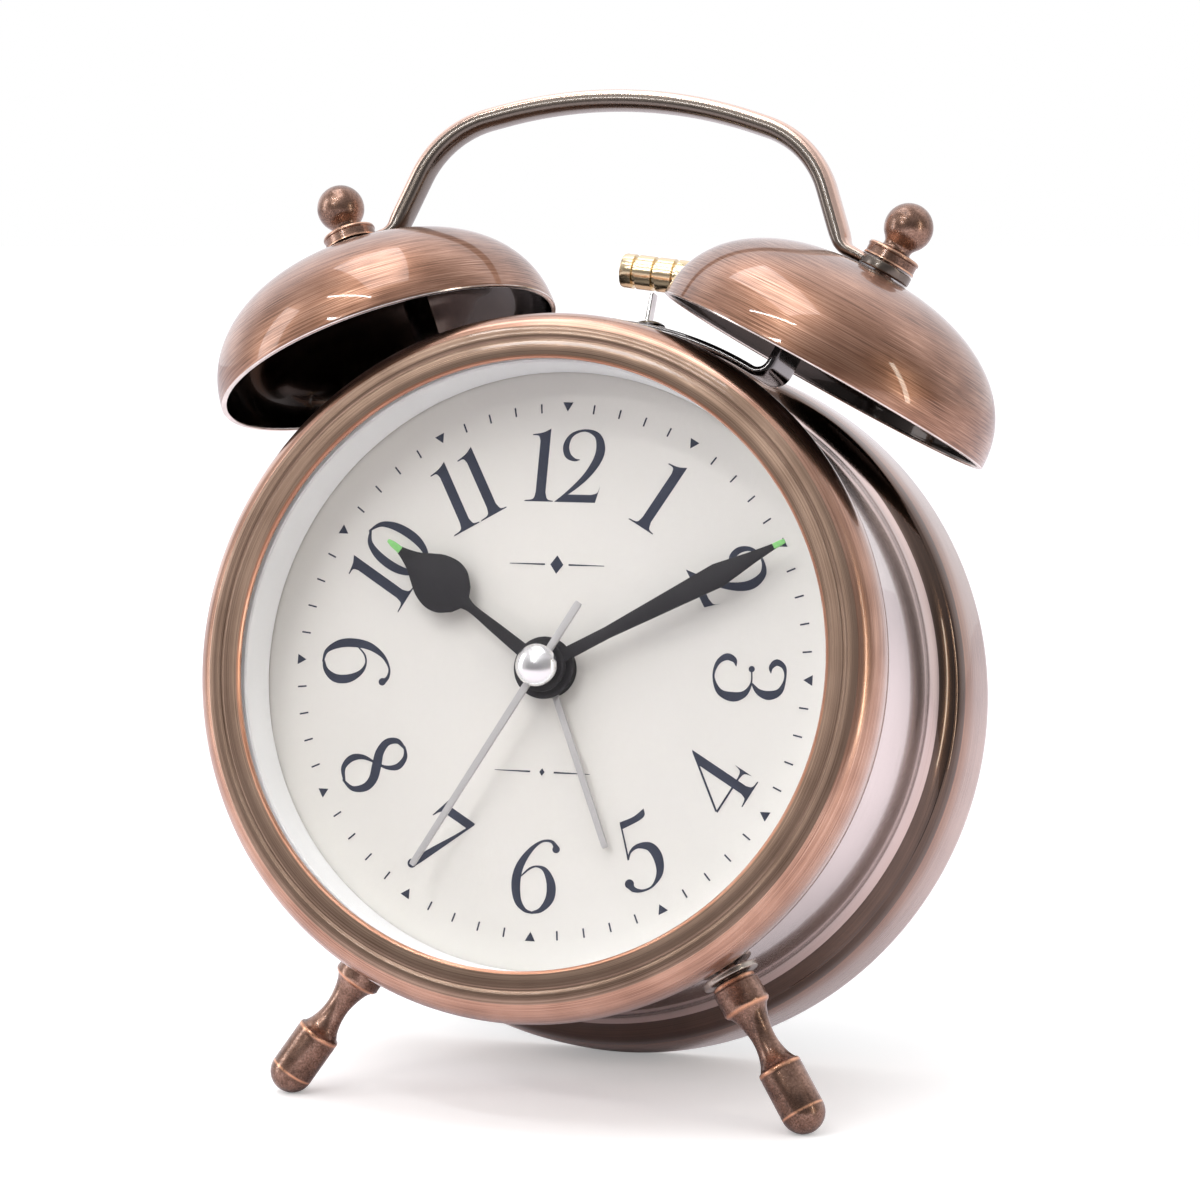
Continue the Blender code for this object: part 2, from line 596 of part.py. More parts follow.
def make_handle():
    right = handle_path()
    thickness = [HANDLE_T / 2] * len(right)
    for i, share in enumerate(HANDLE_FLATTENING):
        thickness[len(right) - len(HANDLE_FLATTENING) + i] = HANDLE_T / 2 * share
    path = [Vector((-p.x, p.y)) for p in right[:0:-1]] + right
    halves = thickness[:0:-1] + thickness
    handle = plate("handle", [band(path, halves)], HANDLE_W, "gunmetal", at=(0, HARDWARE_Y, 0),
                   parent=hardware, bevel=0.6)
    base = BELL_H + GAP
    for side in (-1, 1):
        disc = turned("tab_disc", rod_outline(TAB_R, base, base + TAB_T), "gunmetal", STEPS_SMALL,
                      **bell_frame(side))
        combine(handle, disc, "UNION")
    for side in (-1, 1):
        hole = turned("tab_hole", rod_outline(STUD_HOLE_R, base - 2, base + TAB_T + 3), "steel",
                      STEPS_TUBE, **bell_frame(side))
        combine(handle, hole)


# ---- hammer -----------------------------------------------------------------------------------
def make_hammer():
    pivot = new_empty("hammer_pivot", clock, (0, HAMMER_Y, HAMMER_PIVOT_Z), (0, HAMMER_LEAN, 0))
    half = HAMMER_ARM_T / 2
    neck = HAMMER_HUB_R - 0.2
    end = HAMMER_REACH - HAMMER_HEAD_R - 0.1
    low, high = ARMATURE_Z
    hub = [circle_point(HAMMER_HUB_R, a) for a in range(20, 360, 40)]
    outline = [(half, neck)] + hub + [(-half, neck), (-half, end), (half, end), (half, high),
                                     (ARMATURE_X, high), (ARMATURE_X, low), (half, low)]
    plate("hammer_arm", [outline, circle(HAMMER_PIN_R + GAP, 8)], HAMMER_ARM_W, "steel", parent=pivot)
    length = HAMMER_HEAD_L / 2
    head = [(0, length), (HAMMER_HEAD_R - 0.4, length), (HAMMER_HEAD_R, length - 0.4),
            (HAMMER_HEAD_R, -length + 0.4), (HAMMER_HEAD_R - 0.4, -length), (0, -length)]
    turned("hammer_head", head, "brass", STEPS_SMALL, parent=pivot, at=(0, 0, HAMMER_REACH + GAP),
           turn=(0, 90, 0))
    turned("hammer_pin", rod_outline(HAMMER_PIN_R, 14.6, MOVEMENT_Y[2] - MOVEMENT_WALL - GAP), "steel", 8,
           at=(0, 0, HAMMER_PIVOT_Z), turn=FACING_REAR)
    magnet = {"at": MAGNET_AT, "turn": (0, 90, 0)}
    turned("striker_coil", tube_outline(1.9, 3.9, -6, 6), "winding", STEPS_TUBE, True, **magnet)
    turned("striker_core", rod_outline(1.6, -8.5, 7.0), "steel", 8, **magnet)


# ---- gears ------------------------------------------------------------------------------------
def gear_outline(teeth, phase):
    """Straight-flanked teeth, one of them centred at the phase angle (degrees from +x towards +z)."""
    pitch_r = GEAR_MODULE * teeth / 2
    root = pitch_r - 1.15 * GEAR_MODULE
    tip = pitch_r + 0.85 * GEAR_MODULE
    step = 360 / teeth
    points = []
    for i in range(teeth):
        middle = phase + step * i
        for radius, share in ((root, -0.26), (tip, -0.10), (tip, 0.10), (root, 0.26)):
            a = math.radians(middle + share * step)
            points.append((radius * math.cos(a), radius * math.sin(a)))
    return points


def meshed_phase(direction, teeth, phase, other_teeth):
    """Phase of a wheel that meshes with a toothed wheel lying on its far side along the direction."""
    share = ((direction - phase) / (360 / teeth)) % 1.0
    return direction + 180 - (0.5 - share) * 360 / other_teeth


def gear(name, teeth, phase, at_y, at=(0, 0)):
    """A gear between at_y and at_y + GEAR_T, with its origin on its own axis."""
    return plate(name, [gear_outline(teeth, phase)], GEAR_T, "gear_plastic",
                 at=(at[0], at_y + GEAR_T / 2, at[1]))


def wheel_on_tube(name, teeth, phase, at_y, radii, hand):
    """A wheel joined to the tube that carries its hand through the dial."""
    wheel = gear(name, teeth, phase, at_y)
    tube = turned(name + "_tube", rod_outline(radii[1], HAND_Y[hand] - 0.4, at_y + 0.5), "gear_plastic",
                  STEPS_TUBE, turn=FACING_REAR)
    combine(wheel, tube, "UNION")
    bore = turned(name + "_bore", rod_outline(radii[0], -8, 12), "steel", STEPS_TUBE, turn=FACING_REAR)
    combine(wheel, bore)


def make_gears():
    cannon_phase = -90.0
    motion_phase = meshed_phase(-90, CANNON_TEETH, cannon_phase, MOTION_TEETH)
    knob_phase = meshed_phase(0, MOTION_TEETH, motion_phase, KNOB_TEETH)
    pinion_phase = 90.0
    hour_phase = meshed_phase(90, MOTION_PINION_TEETH, pinion_phase, HOUR_TEETH)
    alarm_phase = 180.0
    alarm_knob_phase = meshed_phase(180, ALARM_TEETH, alarm_phase, KNOB_TEETH)

    wheel_on_tube("cannon_pinion", CANNON_TEETH, cannon_phase, CANNON_Y, MINUTE_TUBE_R, "minute")
    wheel_on_tube("hour_wheel", HOUR_TEETH, hour_phase, HOUR_WHEEL_Y, HOUR_TUBE_R, "hour")
    wheel_on_tube("alarm_wheel", ALARM_TEETH, alarm_phase, ALARM_WHEEL_Y, ALARM_TUBE_R, "alarm")

    motion = gear("motion_wheel", MOTION_TEETH, motion_phase, CANNON_Y, MOTION_AT)
    combine(motion, gear("motion_pinion", MOTION_PINION_TEETH, pinion_phase, HOUR_WHEEL_Y, MOTION_AT),
            "UNION")
    combine(motion, turned("motion_hub", rod_outline(1.2, HOUR_WHEEL_Y + 0.4, CANNON_Y + 0.5), "steel",
                           STEPS_TUBE, at=(MOTION_AT[0], 0, MOTION_AT[1]), turn=FACING_REAR), "UNION")
    combine(motion, turned("motion_bore", rod_outline(MOTION_PIN_R + 0.25, 0, 12), "steel", 8,
                           at=(MOTION_AT[0], 0, MOTION_AT[1]), turn=FACING_REAR))
    turned("motion_pin", rod_outline(MOTION_PIN_R, MOVEMENT_Y[0] + MOVEMENT_WALL + GAP, 9.6), "steel", 8,
           at=(MOTION_AT[0], 0, MOTION_AT[1]), turn=FACING_REAR)

    make_knob("time_set_knob", TIME_KNOB_AT, knob_phase, CANNON_Y)
    make_knob("alarm_set_knob", ALARM_KNOB_AT, alarm_knob_phase, ALARM_WHEEL_Y)


def make_knob(name, at, phase, pinion_y):
    """A fluted knob behind the back cover, its shaft, and the pinion at the shaft's front end."""
    base = COVER_Y[1] + 0.8
    outline = []
    for i in range(KNOB_FLUTES):
        middle = 360 / KNOB_FLUTES * i
        outline += [circle_point(KNOB_R, middle - 8), circle_point(KNOB_R, middle + 8),
                    circle_point(KNOB_R - 0.5, middle + 15)]
    knob = plate(name, [outline[::-1]], KNOB_T, "black_plastic", at=(at[0], base + KNOB_T / 2, at[1]))
    shaft = turned(name + "_shaft", rod_outline(KNOB_SHAFT_R, pinion_y + 0.5, base + 1), "steel",
                   STEPS_TUBE, at=(at[0], 0, at[1]), turn=FACING_REAR)
    combine(knob, shaft, "UNION")
    combine(knob, gear(name + "_pinion", KNOB_TEETH, phase, pinion_y, at), "UNION")


# ---- movement ---------------------------------------------------------------------------------
def make_movement():
    front, joint, rear = MOVEMENT_Y
    half = MOVEMENT_HALF
    wall = MOVEMENT_WALL
    housing = box("movement_housing", (-half, front, -half), (half, joint, half), "black_plastic")
    combine(housing, box("housing_hollow", (-half + wall, front + wall, -half + wall),
                         (half - wall, joint + 1, half - wall), "steel"))
    bush = turned("bushing", rod_outline(BUSHING_R[1], -0.6, front + wall / 2), "brass", STEPS_SMALL,
                  turn=FACING_REAR)
    combine(housing, bush, "UNION")
    combine(housing, turned("bushing_bore", rod_outline(BUSHING_R[0], -3, front + wall + 1), "steel",
                            STEPS_SMALL, turn=FACING_REAR))

    cover = box("movement_cover", (-half, joint + GAP, -half), (half, rear, half), "black_plastic")
    combine(cover, box("cover_hollow", (-half + wall, joint - 1, -half + wall),
                       (half - wall, rear - wall, half - wall), "steel"))
    combine(cover, box("arm_slot", (-10, HAMMER_Y - 1.8, half - wall - 2), (11, HAMMER_Y + 1.8, half + 2),
                       "steel"))
    for x, z in (TIME_KNOB_AT, ALARM_KNOB_AT):
        combine(cover, turned("shaft_hole", rod_outline(KNOB_HOLE_R, rear - 4, rear + 4), "steel",
                              STEPS_TUBE, at=(x, 0, z), turn=FACING_REAR))

    motor = turned("step_motor", rod_outline(MOTOR_R, *MOTOR_Y), "gear_plastic", STEPS_SMALL,
                   turn=FACING_REAR)
    combine(motor, turned("motor_bore", rod_outline(SECOND_ARBOR_R + GAP, 5, 20), "steel", STEPS_TUBE,
                          turn=FACING_REAR))
    turned("second_arbor", rod_outline(SECOND_ARBOR_R, HAND_Y["second"] - 0.4, 14.2), "steel", 8,
           turn=FACING_REAR)
    turned("drive_coil", tube_outline(1.2, 3.6, -8, 8), "winding", STEPS_TUBE, True, at=DRIVE_COIL_AT)
    turned("coil_core", rod_outline(0.9, -10.5, 10.5), "steel", 8, at=DRIVE_COIL_AT)
    box("circuit_board", (-24, 6.0, 13.5), (24, 7.2, 24.5), "circuit")


def make_battery():
    y, z = BATTERY_AT
    half = BATTERY_L / 2
    outline = [(0, half), (2.7, half), (2.7, half - 1.2), (BATTERY_R - 0.5, half - 1.2),
               (BATTERY_R, half - 1.7), (BATTERY_R, -half + 0.3), (BATTERY_R - 0.4, -half), (0, -half)]
    turned("battery", outline, "battery_wrap", STEPS_SMALL, at=(0, y, z), turn=(0, 90, 0))
    for name, side in (("battery_spring", -1), ("battery_contact", 1)):
        near = side * (half + GAP)
        far = side * (BAY_HALF_X - GAP)
        box(name, (min(near, far), y - CONTACT_HALF, z - CONTACT_HALF),
            (max(near, far), y + CONTACT_HALF, z + CONTACT_HALF), "steel")
    door = box("battery_door", (-BAY_HALF_X + GAP, DOOR_FRONT_Y, BAY_Z[0] + GAP),
               (BAY_HALF_X - GAP, COVER_Y[1], BAY_Z[1] - GAP), "black_plastic")
    for offset in DOOR_RIDGES:
        ridge = box("door_ridge", (-6, COVER_Y[1] - 0.3, BAY_Z[1] - 4 + offset),
                    (6, COVER_Y[1] + 0.5, BAY_Z[1] - 3.2 + offset), "black_plastic")
        combine(door, ridge, "UNION")


def make_switch():
    x, z = SWITCH_AT
    front, back = COVER_Y
    low = z - SWITCH_HALF_H
    high = z + SWITCH_HALF_H
    switch = box("alarm_switch", (x - 4.0, back + GAP, low), (x, back + 2.2, high), "black_plastic")
    stem = box("switch_stem", (x - 3.0, front - 2.0, low), (x - 1.0, back + 1.0, high), "black_plastic")
    combine(switch, stem, "UNION")


# ---- hands ------------------------------------------------------------------------------------
def make_hand(kind, outline, hub_r, hole_r, colour):
    blade = plate(kind + "_hand", [outline], HAND_T, colour, at=(0, HAND_Y[kind], 0),
                  turn=HAND_ANGLES[kind])
    hub = turned(kind + "_hub", rod_outline(hub_r, HAND_Y[kind] - 0.35, HAND_Y[kind] + 0.35), colour,
                 STEPS_SMALL, turn=FACING_REAR)
    combine(blade, hub, "UNION")
    combine(blade, turned(kind + "_bore", rod_outline(hole_r, -10, 5), "steel", STEPS_TUBE,
                          turn=FACING_REAR))


def make_hands():
    """The hands, each drawn as half widths at distances from the dial's axis."""
    hour = [(1.1, 3.5), (0.9, 11.5), (0.72, 15.6), (2.6, 18.3), (4.2, 20.3), (4.6, 22.6), (3.9, 25.3),
            (2.2, 27.7), (1.1, 30.0), (0.25, 34.6)]
    minute = [(1.05, 3.0), (0.95, 12.0), (1.95, 32.2), (0.95, 38.3), (0.42, 42.4), (0.3, 44.2)]
    second = [(0.6, -12.0), (0.58, 0.0), (0.5, 37.8)]
    alarm = [(0.55, 0.0), (0.5, 30.5)]
    for kind, side, hub_r, tube_r, colour in (
            ("hour", hour, 5.0, HOUR_TUBE_R[1], "black_paint"),
            ("minute", minute, 4.0, MINUTE_TUBE_R[1], "black_paint"),
            ("second", second, 2.4, SECOND_ARBOR_R, "grey_paint"),
            ("alarm", alarm, 4.4, ALARM_TUBE_R[1], "grey_paint")):
        outline = side + [(-x, z) for x, z in side[::-1]]
        make_hand(kind, outline, hub_r, tube_r + BORE_ROOM, colour)
    base = HAND_Y["second"] - 0.4 - GAP
    cap = [(r, base - h) for r, h in ((3.3, 0.0), (3.4, 0.7), (3.0, 1.5), (2.0, 2.1), (1.0, 2.35), (0, 2.4))]
    turned("hand_cap", [(0, base)] + cap, "chrome", 20, turn=FACING_REAR)


def stand_on_origin():
    """Move the clock so that the middle of its footprint box is the world's origin."""
    bpy.context.view_layer.update()
    graph = bpy.context.evaluated_depsgraph_get()
    low = Vector((math.inf,) * 3)
    high = Vector((-math.inf,) * 3)
    for part in PARTS.objects:
        if part.type != "MESH":
            continue
        mesh = part.evaluated_get(graph).to_mesh()
        for vertex in mesh.vertices:
            point = part.matrix_world @ vertex.co
            low = Vector(map(min, low, point))
            high = Vector(map(max, high, point))
    clock.location = -Vector(((low.x + high.x) / 2, (low.y + high.y) / 2, low.z))
    bpy.context.view_layer.update()


make_case()
make_bezel()
make_rear()
for leg_name, leg_side in (("left_leg", -1), ("right_leg", 1)):
    make_leg(leg_name, leg_side)
for bell_name, bell_side in (("left", -1), ("right", 1)):
    make_bell(bell_name, bell_side)
make_bracket()
make_handle()
make_hammer()
make_gears()
make_movement()
make_battery()
make_switch()
make_hands()
stand_on_origin()
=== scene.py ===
import json
import math

import bmesh
import bpy
from mathutils import Matrix, Vector, geometry


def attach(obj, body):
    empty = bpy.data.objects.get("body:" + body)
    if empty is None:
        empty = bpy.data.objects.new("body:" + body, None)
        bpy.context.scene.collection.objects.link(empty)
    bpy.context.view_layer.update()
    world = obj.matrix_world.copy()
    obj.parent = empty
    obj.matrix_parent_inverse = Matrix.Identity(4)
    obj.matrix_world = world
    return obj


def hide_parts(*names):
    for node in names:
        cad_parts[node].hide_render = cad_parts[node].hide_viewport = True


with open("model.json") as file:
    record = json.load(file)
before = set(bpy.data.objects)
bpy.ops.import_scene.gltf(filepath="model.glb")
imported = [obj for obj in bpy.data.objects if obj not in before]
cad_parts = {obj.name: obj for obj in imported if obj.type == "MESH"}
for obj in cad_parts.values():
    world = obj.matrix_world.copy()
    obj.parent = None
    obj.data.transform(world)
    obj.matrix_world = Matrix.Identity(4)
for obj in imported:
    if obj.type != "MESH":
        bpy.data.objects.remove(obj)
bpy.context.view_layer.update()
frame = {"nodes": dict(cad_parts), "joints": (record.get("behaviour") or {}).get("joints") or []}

MM = 0.001

STEPS_BODY = 224
STEPS_BELL = 144
STEPS_SMALL = 56

DIAL_R = 50.2
DIAL_HOLE_R = 4.6
LENS_Y = (-11.6, -10.2)
LENS_R = 51.4
OPENING_R = 48.5
WAIST_R = 54.8
CASE_WALL = 0.9
FLARE_R = 6.5
FLARE_ANGLE = 62.0
FLARE_Y = 32.0
STEEP_ANGLE = 38.0                    # from here on the flare takes the painted shade by the seam
CREST_Y = 40.8                        # and from here on the rear ring is its own copper, out of the painted shade
SEAM_Y = 38.3
REAR_R = 60.8
COVER_Y = (52.7, 54.2)
COVER_R = 56.9
HARDWARE_Y = 11.0
LEG_ANGLE = 32.9
LEG_TOP = 56.5
WASHER_R = 4.8
FOOT_R = 3.6
BELL_ROLL = 1.8
BELL_DISTANCE = 63.2
BELL_ANGLE = 36.4
BELL_TILT = 24.8
BELL_R = 29.36
BELL_H = 19.5
BELL_WALL = 0.9
BRACKET_R = 58.0
BRACKET_T = 1.5
BRACKET_W = 12.0
BRACKET_ARM_U = -7.4
HANDLE_TOP_Z = 96.5
HANDLE_CROWN_R = 77.0
HANDLE_CROWN_X = 22.0
HANDLE_SIDE = (36.1, 80.2)
HANDLE_SIDE_LEAN = 21.1
HANDLE_T = 3.5
HANDLE_W = 5.0
TAB_T = 1.6
GAP = 0.3
HAMMER_Y = 19.0
HAMMER_PIVOT_Z = 4.0
HAMMER_LEAN = 6.6
HAMMER_REACH = 65.0
HAMMER_BORE_R = 1.1
HAMMER_SLOT_X = (-16.0, 17.0)
HAMMER_SLOT_HALF_W = 2.2
HAND_ANGLES = {"hour": 305.0, "minute": 61.0, "second": 210.0, "alarm": 157.0}
HAND_Y = {"alarm": -1.5, "hour": -2.8, "minute": -4.2, "second": -5.6}
TIME_KNOB_AT = (10.0, -10.0)
ALARM_KNOB_AT = (-10.5, 0.0)
KNOB_R = 5.0
KNOB_FLUTES = 24
PINION_TEETH = 10
PINION_Y = {"time_set_knob": 7.2, "alarm_set_knob": 3.2}
BAY_HALF_X = 27.2
BAY_Z = (-40.5, -24.5)
BAY_FLOOR_Y = 37.2
BAY_WALL = 1.2
SWITCH_AT = (20.0, 20.0)
COVER_SCREW_ANGLES = (30, 150, 270)   # from 3 o'clock, towards 12
COVER_SCREW_FROM_MIDDLE = 54.4
SOUND_SLOT_PITCH = (3.2, 3.0)
SOUND_SLOT_HALF = (1.1, 0.5)
SOUND_SLOTS_Z = 34.0


# ---- frames ----
def turn(degrees, axis="Y"):
    return Matrix.Rotation(math.radians(degrees), 4, axis)


def shift(x, y, z):
    return Matrix.Translation(Vector((x, y, z)) * MM)


def clock_frame():
    spindle = next(j for j in frame["joints"] if j["name"] == "minute_hand_turn")
    into = Vector(spindle["axis"]).normalized()
    right = Vector((1, 0, 0))
    matrix = Matrix((right, into, right.cross(into))).transposed().to_4x4()
    matrix.translation = Vector(spindle["pos_m"])
    return matrix


CLOCK = clock_frame()
HARDWARE = CLOCK @ turn(BELL_ROLL)
TO_REAR = turn(-90, "X")              # turns an object's own +Z onto the clock's +y
SPINDLE = CLOCK @ TO_REAR


# ---- outlines ----
def arc(centre, radius, start, end, count):
    angles = [math.radians(start + (end - start) * i / count) for i in range(count + 1)]
    return [(centre[0] + radius * math.cos(a), centre[1] + radius * math.sin(a)) for a in angles]


def circle_point(radius, angle):
    """A point at an angle clockwise from 12 o'clock."""
    return (radius * math.sin(math.radians(angle)), radius * math.cos(math.radians(angle)))


def spline(points, per=6):
    """Points on a smooth curve through the given points, of any number of coordinates."""
    first = [2 * a - b for a, b in zip(points[0], points[1])]
    last = [2 * a - b for a, b in zip(points[-1], points[-2])]
    padded = [first, *points, last]
    made = []
    for p0, p1, p2, p3 in zip(padded, padded[1:], padded[2:], padded[3:]):
        for i in range(per):
            t = i / per
            made.append(tuple(
                0.5 * (2 * b + (c - a) * t + (2 * a - 5 * b + 4 * c - d) * t * t
                       + (3 * b - a - 3 * c + d) * t ** 3)
                for a, b, c, d in zip(p0, p1, p2, p3)))
    made.append(tuple(points[-1]))
    return made


def rounded(points, radius, count=4, closed=False):
    """The outline with its corners rounded. A corner takes a smaller radius where a side is short."""
    n = len(points)
    made = []
    for i, corner in enumerate(points):
        if not closed and i in (0, n - 1):
            made.append(tuple(corner))
            continue
        here = Vector(corner)
        before = Vector(points[i - 1]) - here
        after = Vector(points[(i + 1) % n]) - here
        angle = before.angle(after)
        if angle > math.radians(172) or angle < math.radians(2):
            made.append(tuple(corner))
            continue
        reach = min(radius / math.tan(angle / 2), 0.45 * before.length, 0.45 * after.length)
        start = here + before.normalized() * reach
        end = here + after.normalized() * reach
        for k in range(count + 1):
            t = k / count
            made.append(tuple(start * (1 - t) ** 2 + here * 2 * t * (1 - t) + end * t * t))
    return made


# ---- pieces ----
drawn_in = {}                         # piece name: the frame it was drawn in


def note_places(piece):
    """Keeps each vertex's place in the drawn frame, and the way round that frame's Z axis."""
    matrix = drawn_in[piece.name]
    back = matrix.inverted()
    turned_by = matrix.to_3x3()
    places = [back @ v.co for v in piece.data.vertices]
    ways = [turned_by @ (Vector((-p.y, p.x, 0.0)) if p.xy.length > 1e-6 else Vector((1, 0, 0))).normalized()
            for p in places]
    for title, vectors in (("drawn", places), ("around", ways)):
        layer = piece.data.attributes.new(title, "FLOAT_VECTOR", "POINT")
        layer.data.foreach_set("vector", [c for v in vectors for c in v])


def put(name, shape, matrix, materials, nodes=(), body="clock", sharp=38):
    """Makes a piece of a bmesh drawn in millimetres, places it by the matrix, attaches it to its body and hides
    the CAD nodes it stands for.
    """
    bmesh.ops.recalc_face_normals(shape, faces=shape.faces)
    bmesh.ops.transform(shape, matrix=matrix @ Matrix.Scale(MM, 4), verts=shape.verts)
    mesh = bpy.data.meshes.new(name)
    shape.to_mesh(mesh)
    shape.free()
    for material in materials if isinstance(materials, (list, tuple)) else [materials]:
        mesh.materials.append(material)
    mesh.shade_smooth()
    mesh.set_sharp_from_angle(angle=math.radians(sharp))
    piece = bpy.data.objects.new(name, mesh)
    bpy.context.scene.collection.objects.link(piece)
    drawn_in[name] = matrix
    note_places(piece)
    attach(piece, body)
    if nodes:
        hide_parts(*nodes)
    return piece


def lathe(sections, steps, ring=False):
    """A turned shape from one outline, or from sections that each hold (outline, material index)."""
    if not isinstance(sections[0][0], (list, tuple)):
        sections = [(sections, 0)]
    shape = bmesh.new()
    points = []
    indices = []
    for outline, index in sections:
        fresh = outline if not points or outline[0] != points[-1] else outline[1:]
        indices += [index] * (len(fresh) if points else len(fresh) - 1)
        points += fresh
    if ring:
        points.append(points[0])
        indices.append(indices[-1])
    circles = []
    for k, (r, h) in enumerate(points):
        if ring and k == len(points) - 1:
            circles.append(circles[0])
        elif r < 1e-6:
            circles.append([shape.verts.new((0, 0, h))])
        else:
            angles = [2 * math.pi * i / steps for i in range(steps)]
            circles.append([shape.verts.new((r * math.cos(a), r * math.sin(a), h)) for a in angles])
    for k, index in enumerate(indices):
        a = circles[k]
        b = circles[k + 1]
        if len(a) == 1 and len(b) == 1:
            continue
        for i in range(steps):
            j = (i + 1) % steps
            corners = []
            for vert in (a[i % len(a)], a[j % len(a)], b[j % len(b)], b[i % len(b)]):
                if vert not in corners:
                    corners.append(vert)
            shape.faces.new(corners).material_index = index
    return shape


def turned(name, sections, steps, matrix, materials, nodes=(), body="clock", ring=False, sharp=38):
    return put(name, lathe(sections, steps, ring), matrix, materials, nodes, body, sharp)


def holds(outline, x, z):
    """Whether the point is inside the outline."""
    hit = False
    for (ax, az), (bx, bz) in zip(outline, [*outline[1:], outline[0]]):
        if (az > z) != (bz > z) and x < ax + (bx - ax) * (z - az) / (bz - az):
            hit = not hit
    return hit


def slab(outlines, y_front, y_back, shape=None, bevel=0.0):
    """Flat shapes in the x-z plane between two planes. Outlines that overlap become one shape."""
    points = []
    faces = []
    for outline in outlines:
        faces.append(list(range(len(points), len(points) + len(outline))))
        points += [Vector(p) for p in outline]
    found = geometry.delaunay_2d_cdt(points, [], faces, 1, 1e-5)
    flat = bmesh.new()
    verts = [flat.verts.new((p.x, y_front, p.y)) for p in found[0]]
    for triangle in found[2]:
        x, z = sum((found[0][i] for i in triangle), Vector((0, 0))) / len(triangle)
        if any(holds(outline, x, z) for outline in outlines):
            flat.faces.new([verts[i] for i in triangle])
    bmesh.ops.delete(flat, geom=[v for v in flat.verts if not v.link_faces], context="VERTS")
    solid = bmesh.ops.extrude_face_region(flat, geom=flat.faces[:])
    moved = [g for g in solid["geom"] if isinstance(g, bmesh.types.BMVert)]
    bmesh.ops.translate(flat, vec=(0, y_back - y_front, 0), verts=moved)
    bmesh.ops.recalc_face_normals(flat, faces=flat.faces)
    if bevel:
        rim = [e for e in flat.edges if len(e.link_faces) == 2 and e.calc_face_angle() > 1.0
               and all(abs(v.co.y - y_front) < 1e-5 for v in e.verts)]
        bmesh.ops.bevel(flat, geom=rim, offset=bevel, segments=2, affect="EDGES", profile=0.5)
    return merged(shape, flat)


def merged(shape, other):
    """Adds one bmesh to another as a further solid."""
    if shape is None:
        return other
    mesh = bpy.data.meshes.new("scratch")
    other.to_mesh(mesh)
    other.free()
    shape.from_mesh(mesh)
    bpy.data.meshes.remove(mesh)
    return shape


def sweep(path, section, y_middle, outer_from=2.0):
    """A bar along a path in the x-z plane. The path holds (x, z, half thickness, half width).

    Sides whose middle is past outer_from, as a share of the half thickness, take material 1.
    """
    shape = bmesh.new()
    rings = []
    for i, (x, z, half_t, half_w) in enumerate(path):
        ahead = Vector(path[min(i + 1, len(path) - 1)][:2])
        behind = Vector(path[max(i - 1, 0)][:2])
        along = (ahead - behind).normalized()
        out = Vector((-along.y, along.x))
        rings.append([shape.verts.new((x + out.x * a * half_t, y_middle + b * half_w,
                                       z + out.y * a * half_t)) for a, b in section])
    n = len(section)
    for first, second in zip(rings, rings[1:]):
        for i in range(n):
            j = (i + 1) % n
            side = shape.faces.new((first[i], first[j], second[j], second[i]))
            side.material_index = int((section[i][0] + section[j][0]) / 2 > outer_from)
    shape.faces.new(rings[0])
    shape.faces.new(rings[-1][::-1])
    return shape


def cut(piece, cutter_shape, matrix):
    """Takes a shape out of a piece, for good."""
    bmesh.ops.recalc_face_normals(cutter_shape, faces=cutter_shape.faces)
    bmesh.ops.transform(cutter_shape, matrix=matrix @ Matrix.Scale(MM, 4), verts=cutter_shape.verts)
    mesh = bpy.data.meshes.new("cutter")
    cutter_shape.to_mesh(mesh)
    cutter_shape.free()
    cutter = bpy.data.objects.new("cutter", mesh)
    bpy.context.scene.collection.objects.link(cutter)
    for title in ("drawn", "around"):
        piece.data.attributes.remove(piece.data.attributes[title])
    boolean = piece.modifiers.new("cut", "BOOLEAN")
    boolean.operation = "DIFFERENCE"
    boolean.object = cutter
    bpy.context.view_layer.update()
    made = bpy.data.meshes.new_from_object(piece.evaluated_get(bpy.context.evaluated_depsgraph_get()))
    piece.modifiers.clear()
    old = piece.data
    piece.data = made
    made.name = old.name
    bpy.data.meshes.remove(old)
    bpy.data.objects.remove(cutter)
    piece.data.shade_smooth()
    piece.data.set_sharp_from_angle(angle=math.radians(32))
    note_places(piece)


def drill(piece, radius, low, high, matrix):
    """Takes a round hole along the matrix's Z axis out of a piece."""
    cut(piece, lathe([(0, low), (radius, low), (radius, high), (0, high)], 32), matrix)


def block(low, high, shape=None, bevel=0.0):
    """A block between two corners with its edges rounded."""
    solid = bmesh.new()
    size = [b - a for a, b in zip(low, high)]
    middle = [(a + b) / 2 for a, b in zip(low, high)]
    made = bmesh.ops.create_cube(solid, size=1.0, matrix=Matrix.Translation(middle)
                                 @ Matrix.Diagonal((*size, 1.0)))
    if bevel:
        edges = list({e for v in made["verts"] for e in v.link_edges})
        bmesh.ops.bevel(solid, geom=edges, offset=bevel, segments=3, affect="EDGES", profile=0.5)
    return merged(shape, solid)


# ---- materials ----
class Graph:
    """Makes and links the nodes of one shader tree."""

    def __init__(self, tree):
        self.tree = tree

    def node(self, kind, links=None, **settings):
        made = self.tree.nodes.new(kind)
        for key, value in settings.items():
            setattr(made, key, value)
        for socket, source in (links or {}).items():
            if isinstance(source, bpy.types.NodeSocket):
                self.tree.links.new(source, made.inputs[socket])
            else:
                made.inputs[socket].default_value = source
        return made

    def math(self, operation, a, b=0.0, c=0.0):
        return self.node("ShaderNodeMath", {0: a, 1: b, 2: c}, operation=operation).outputs[0]


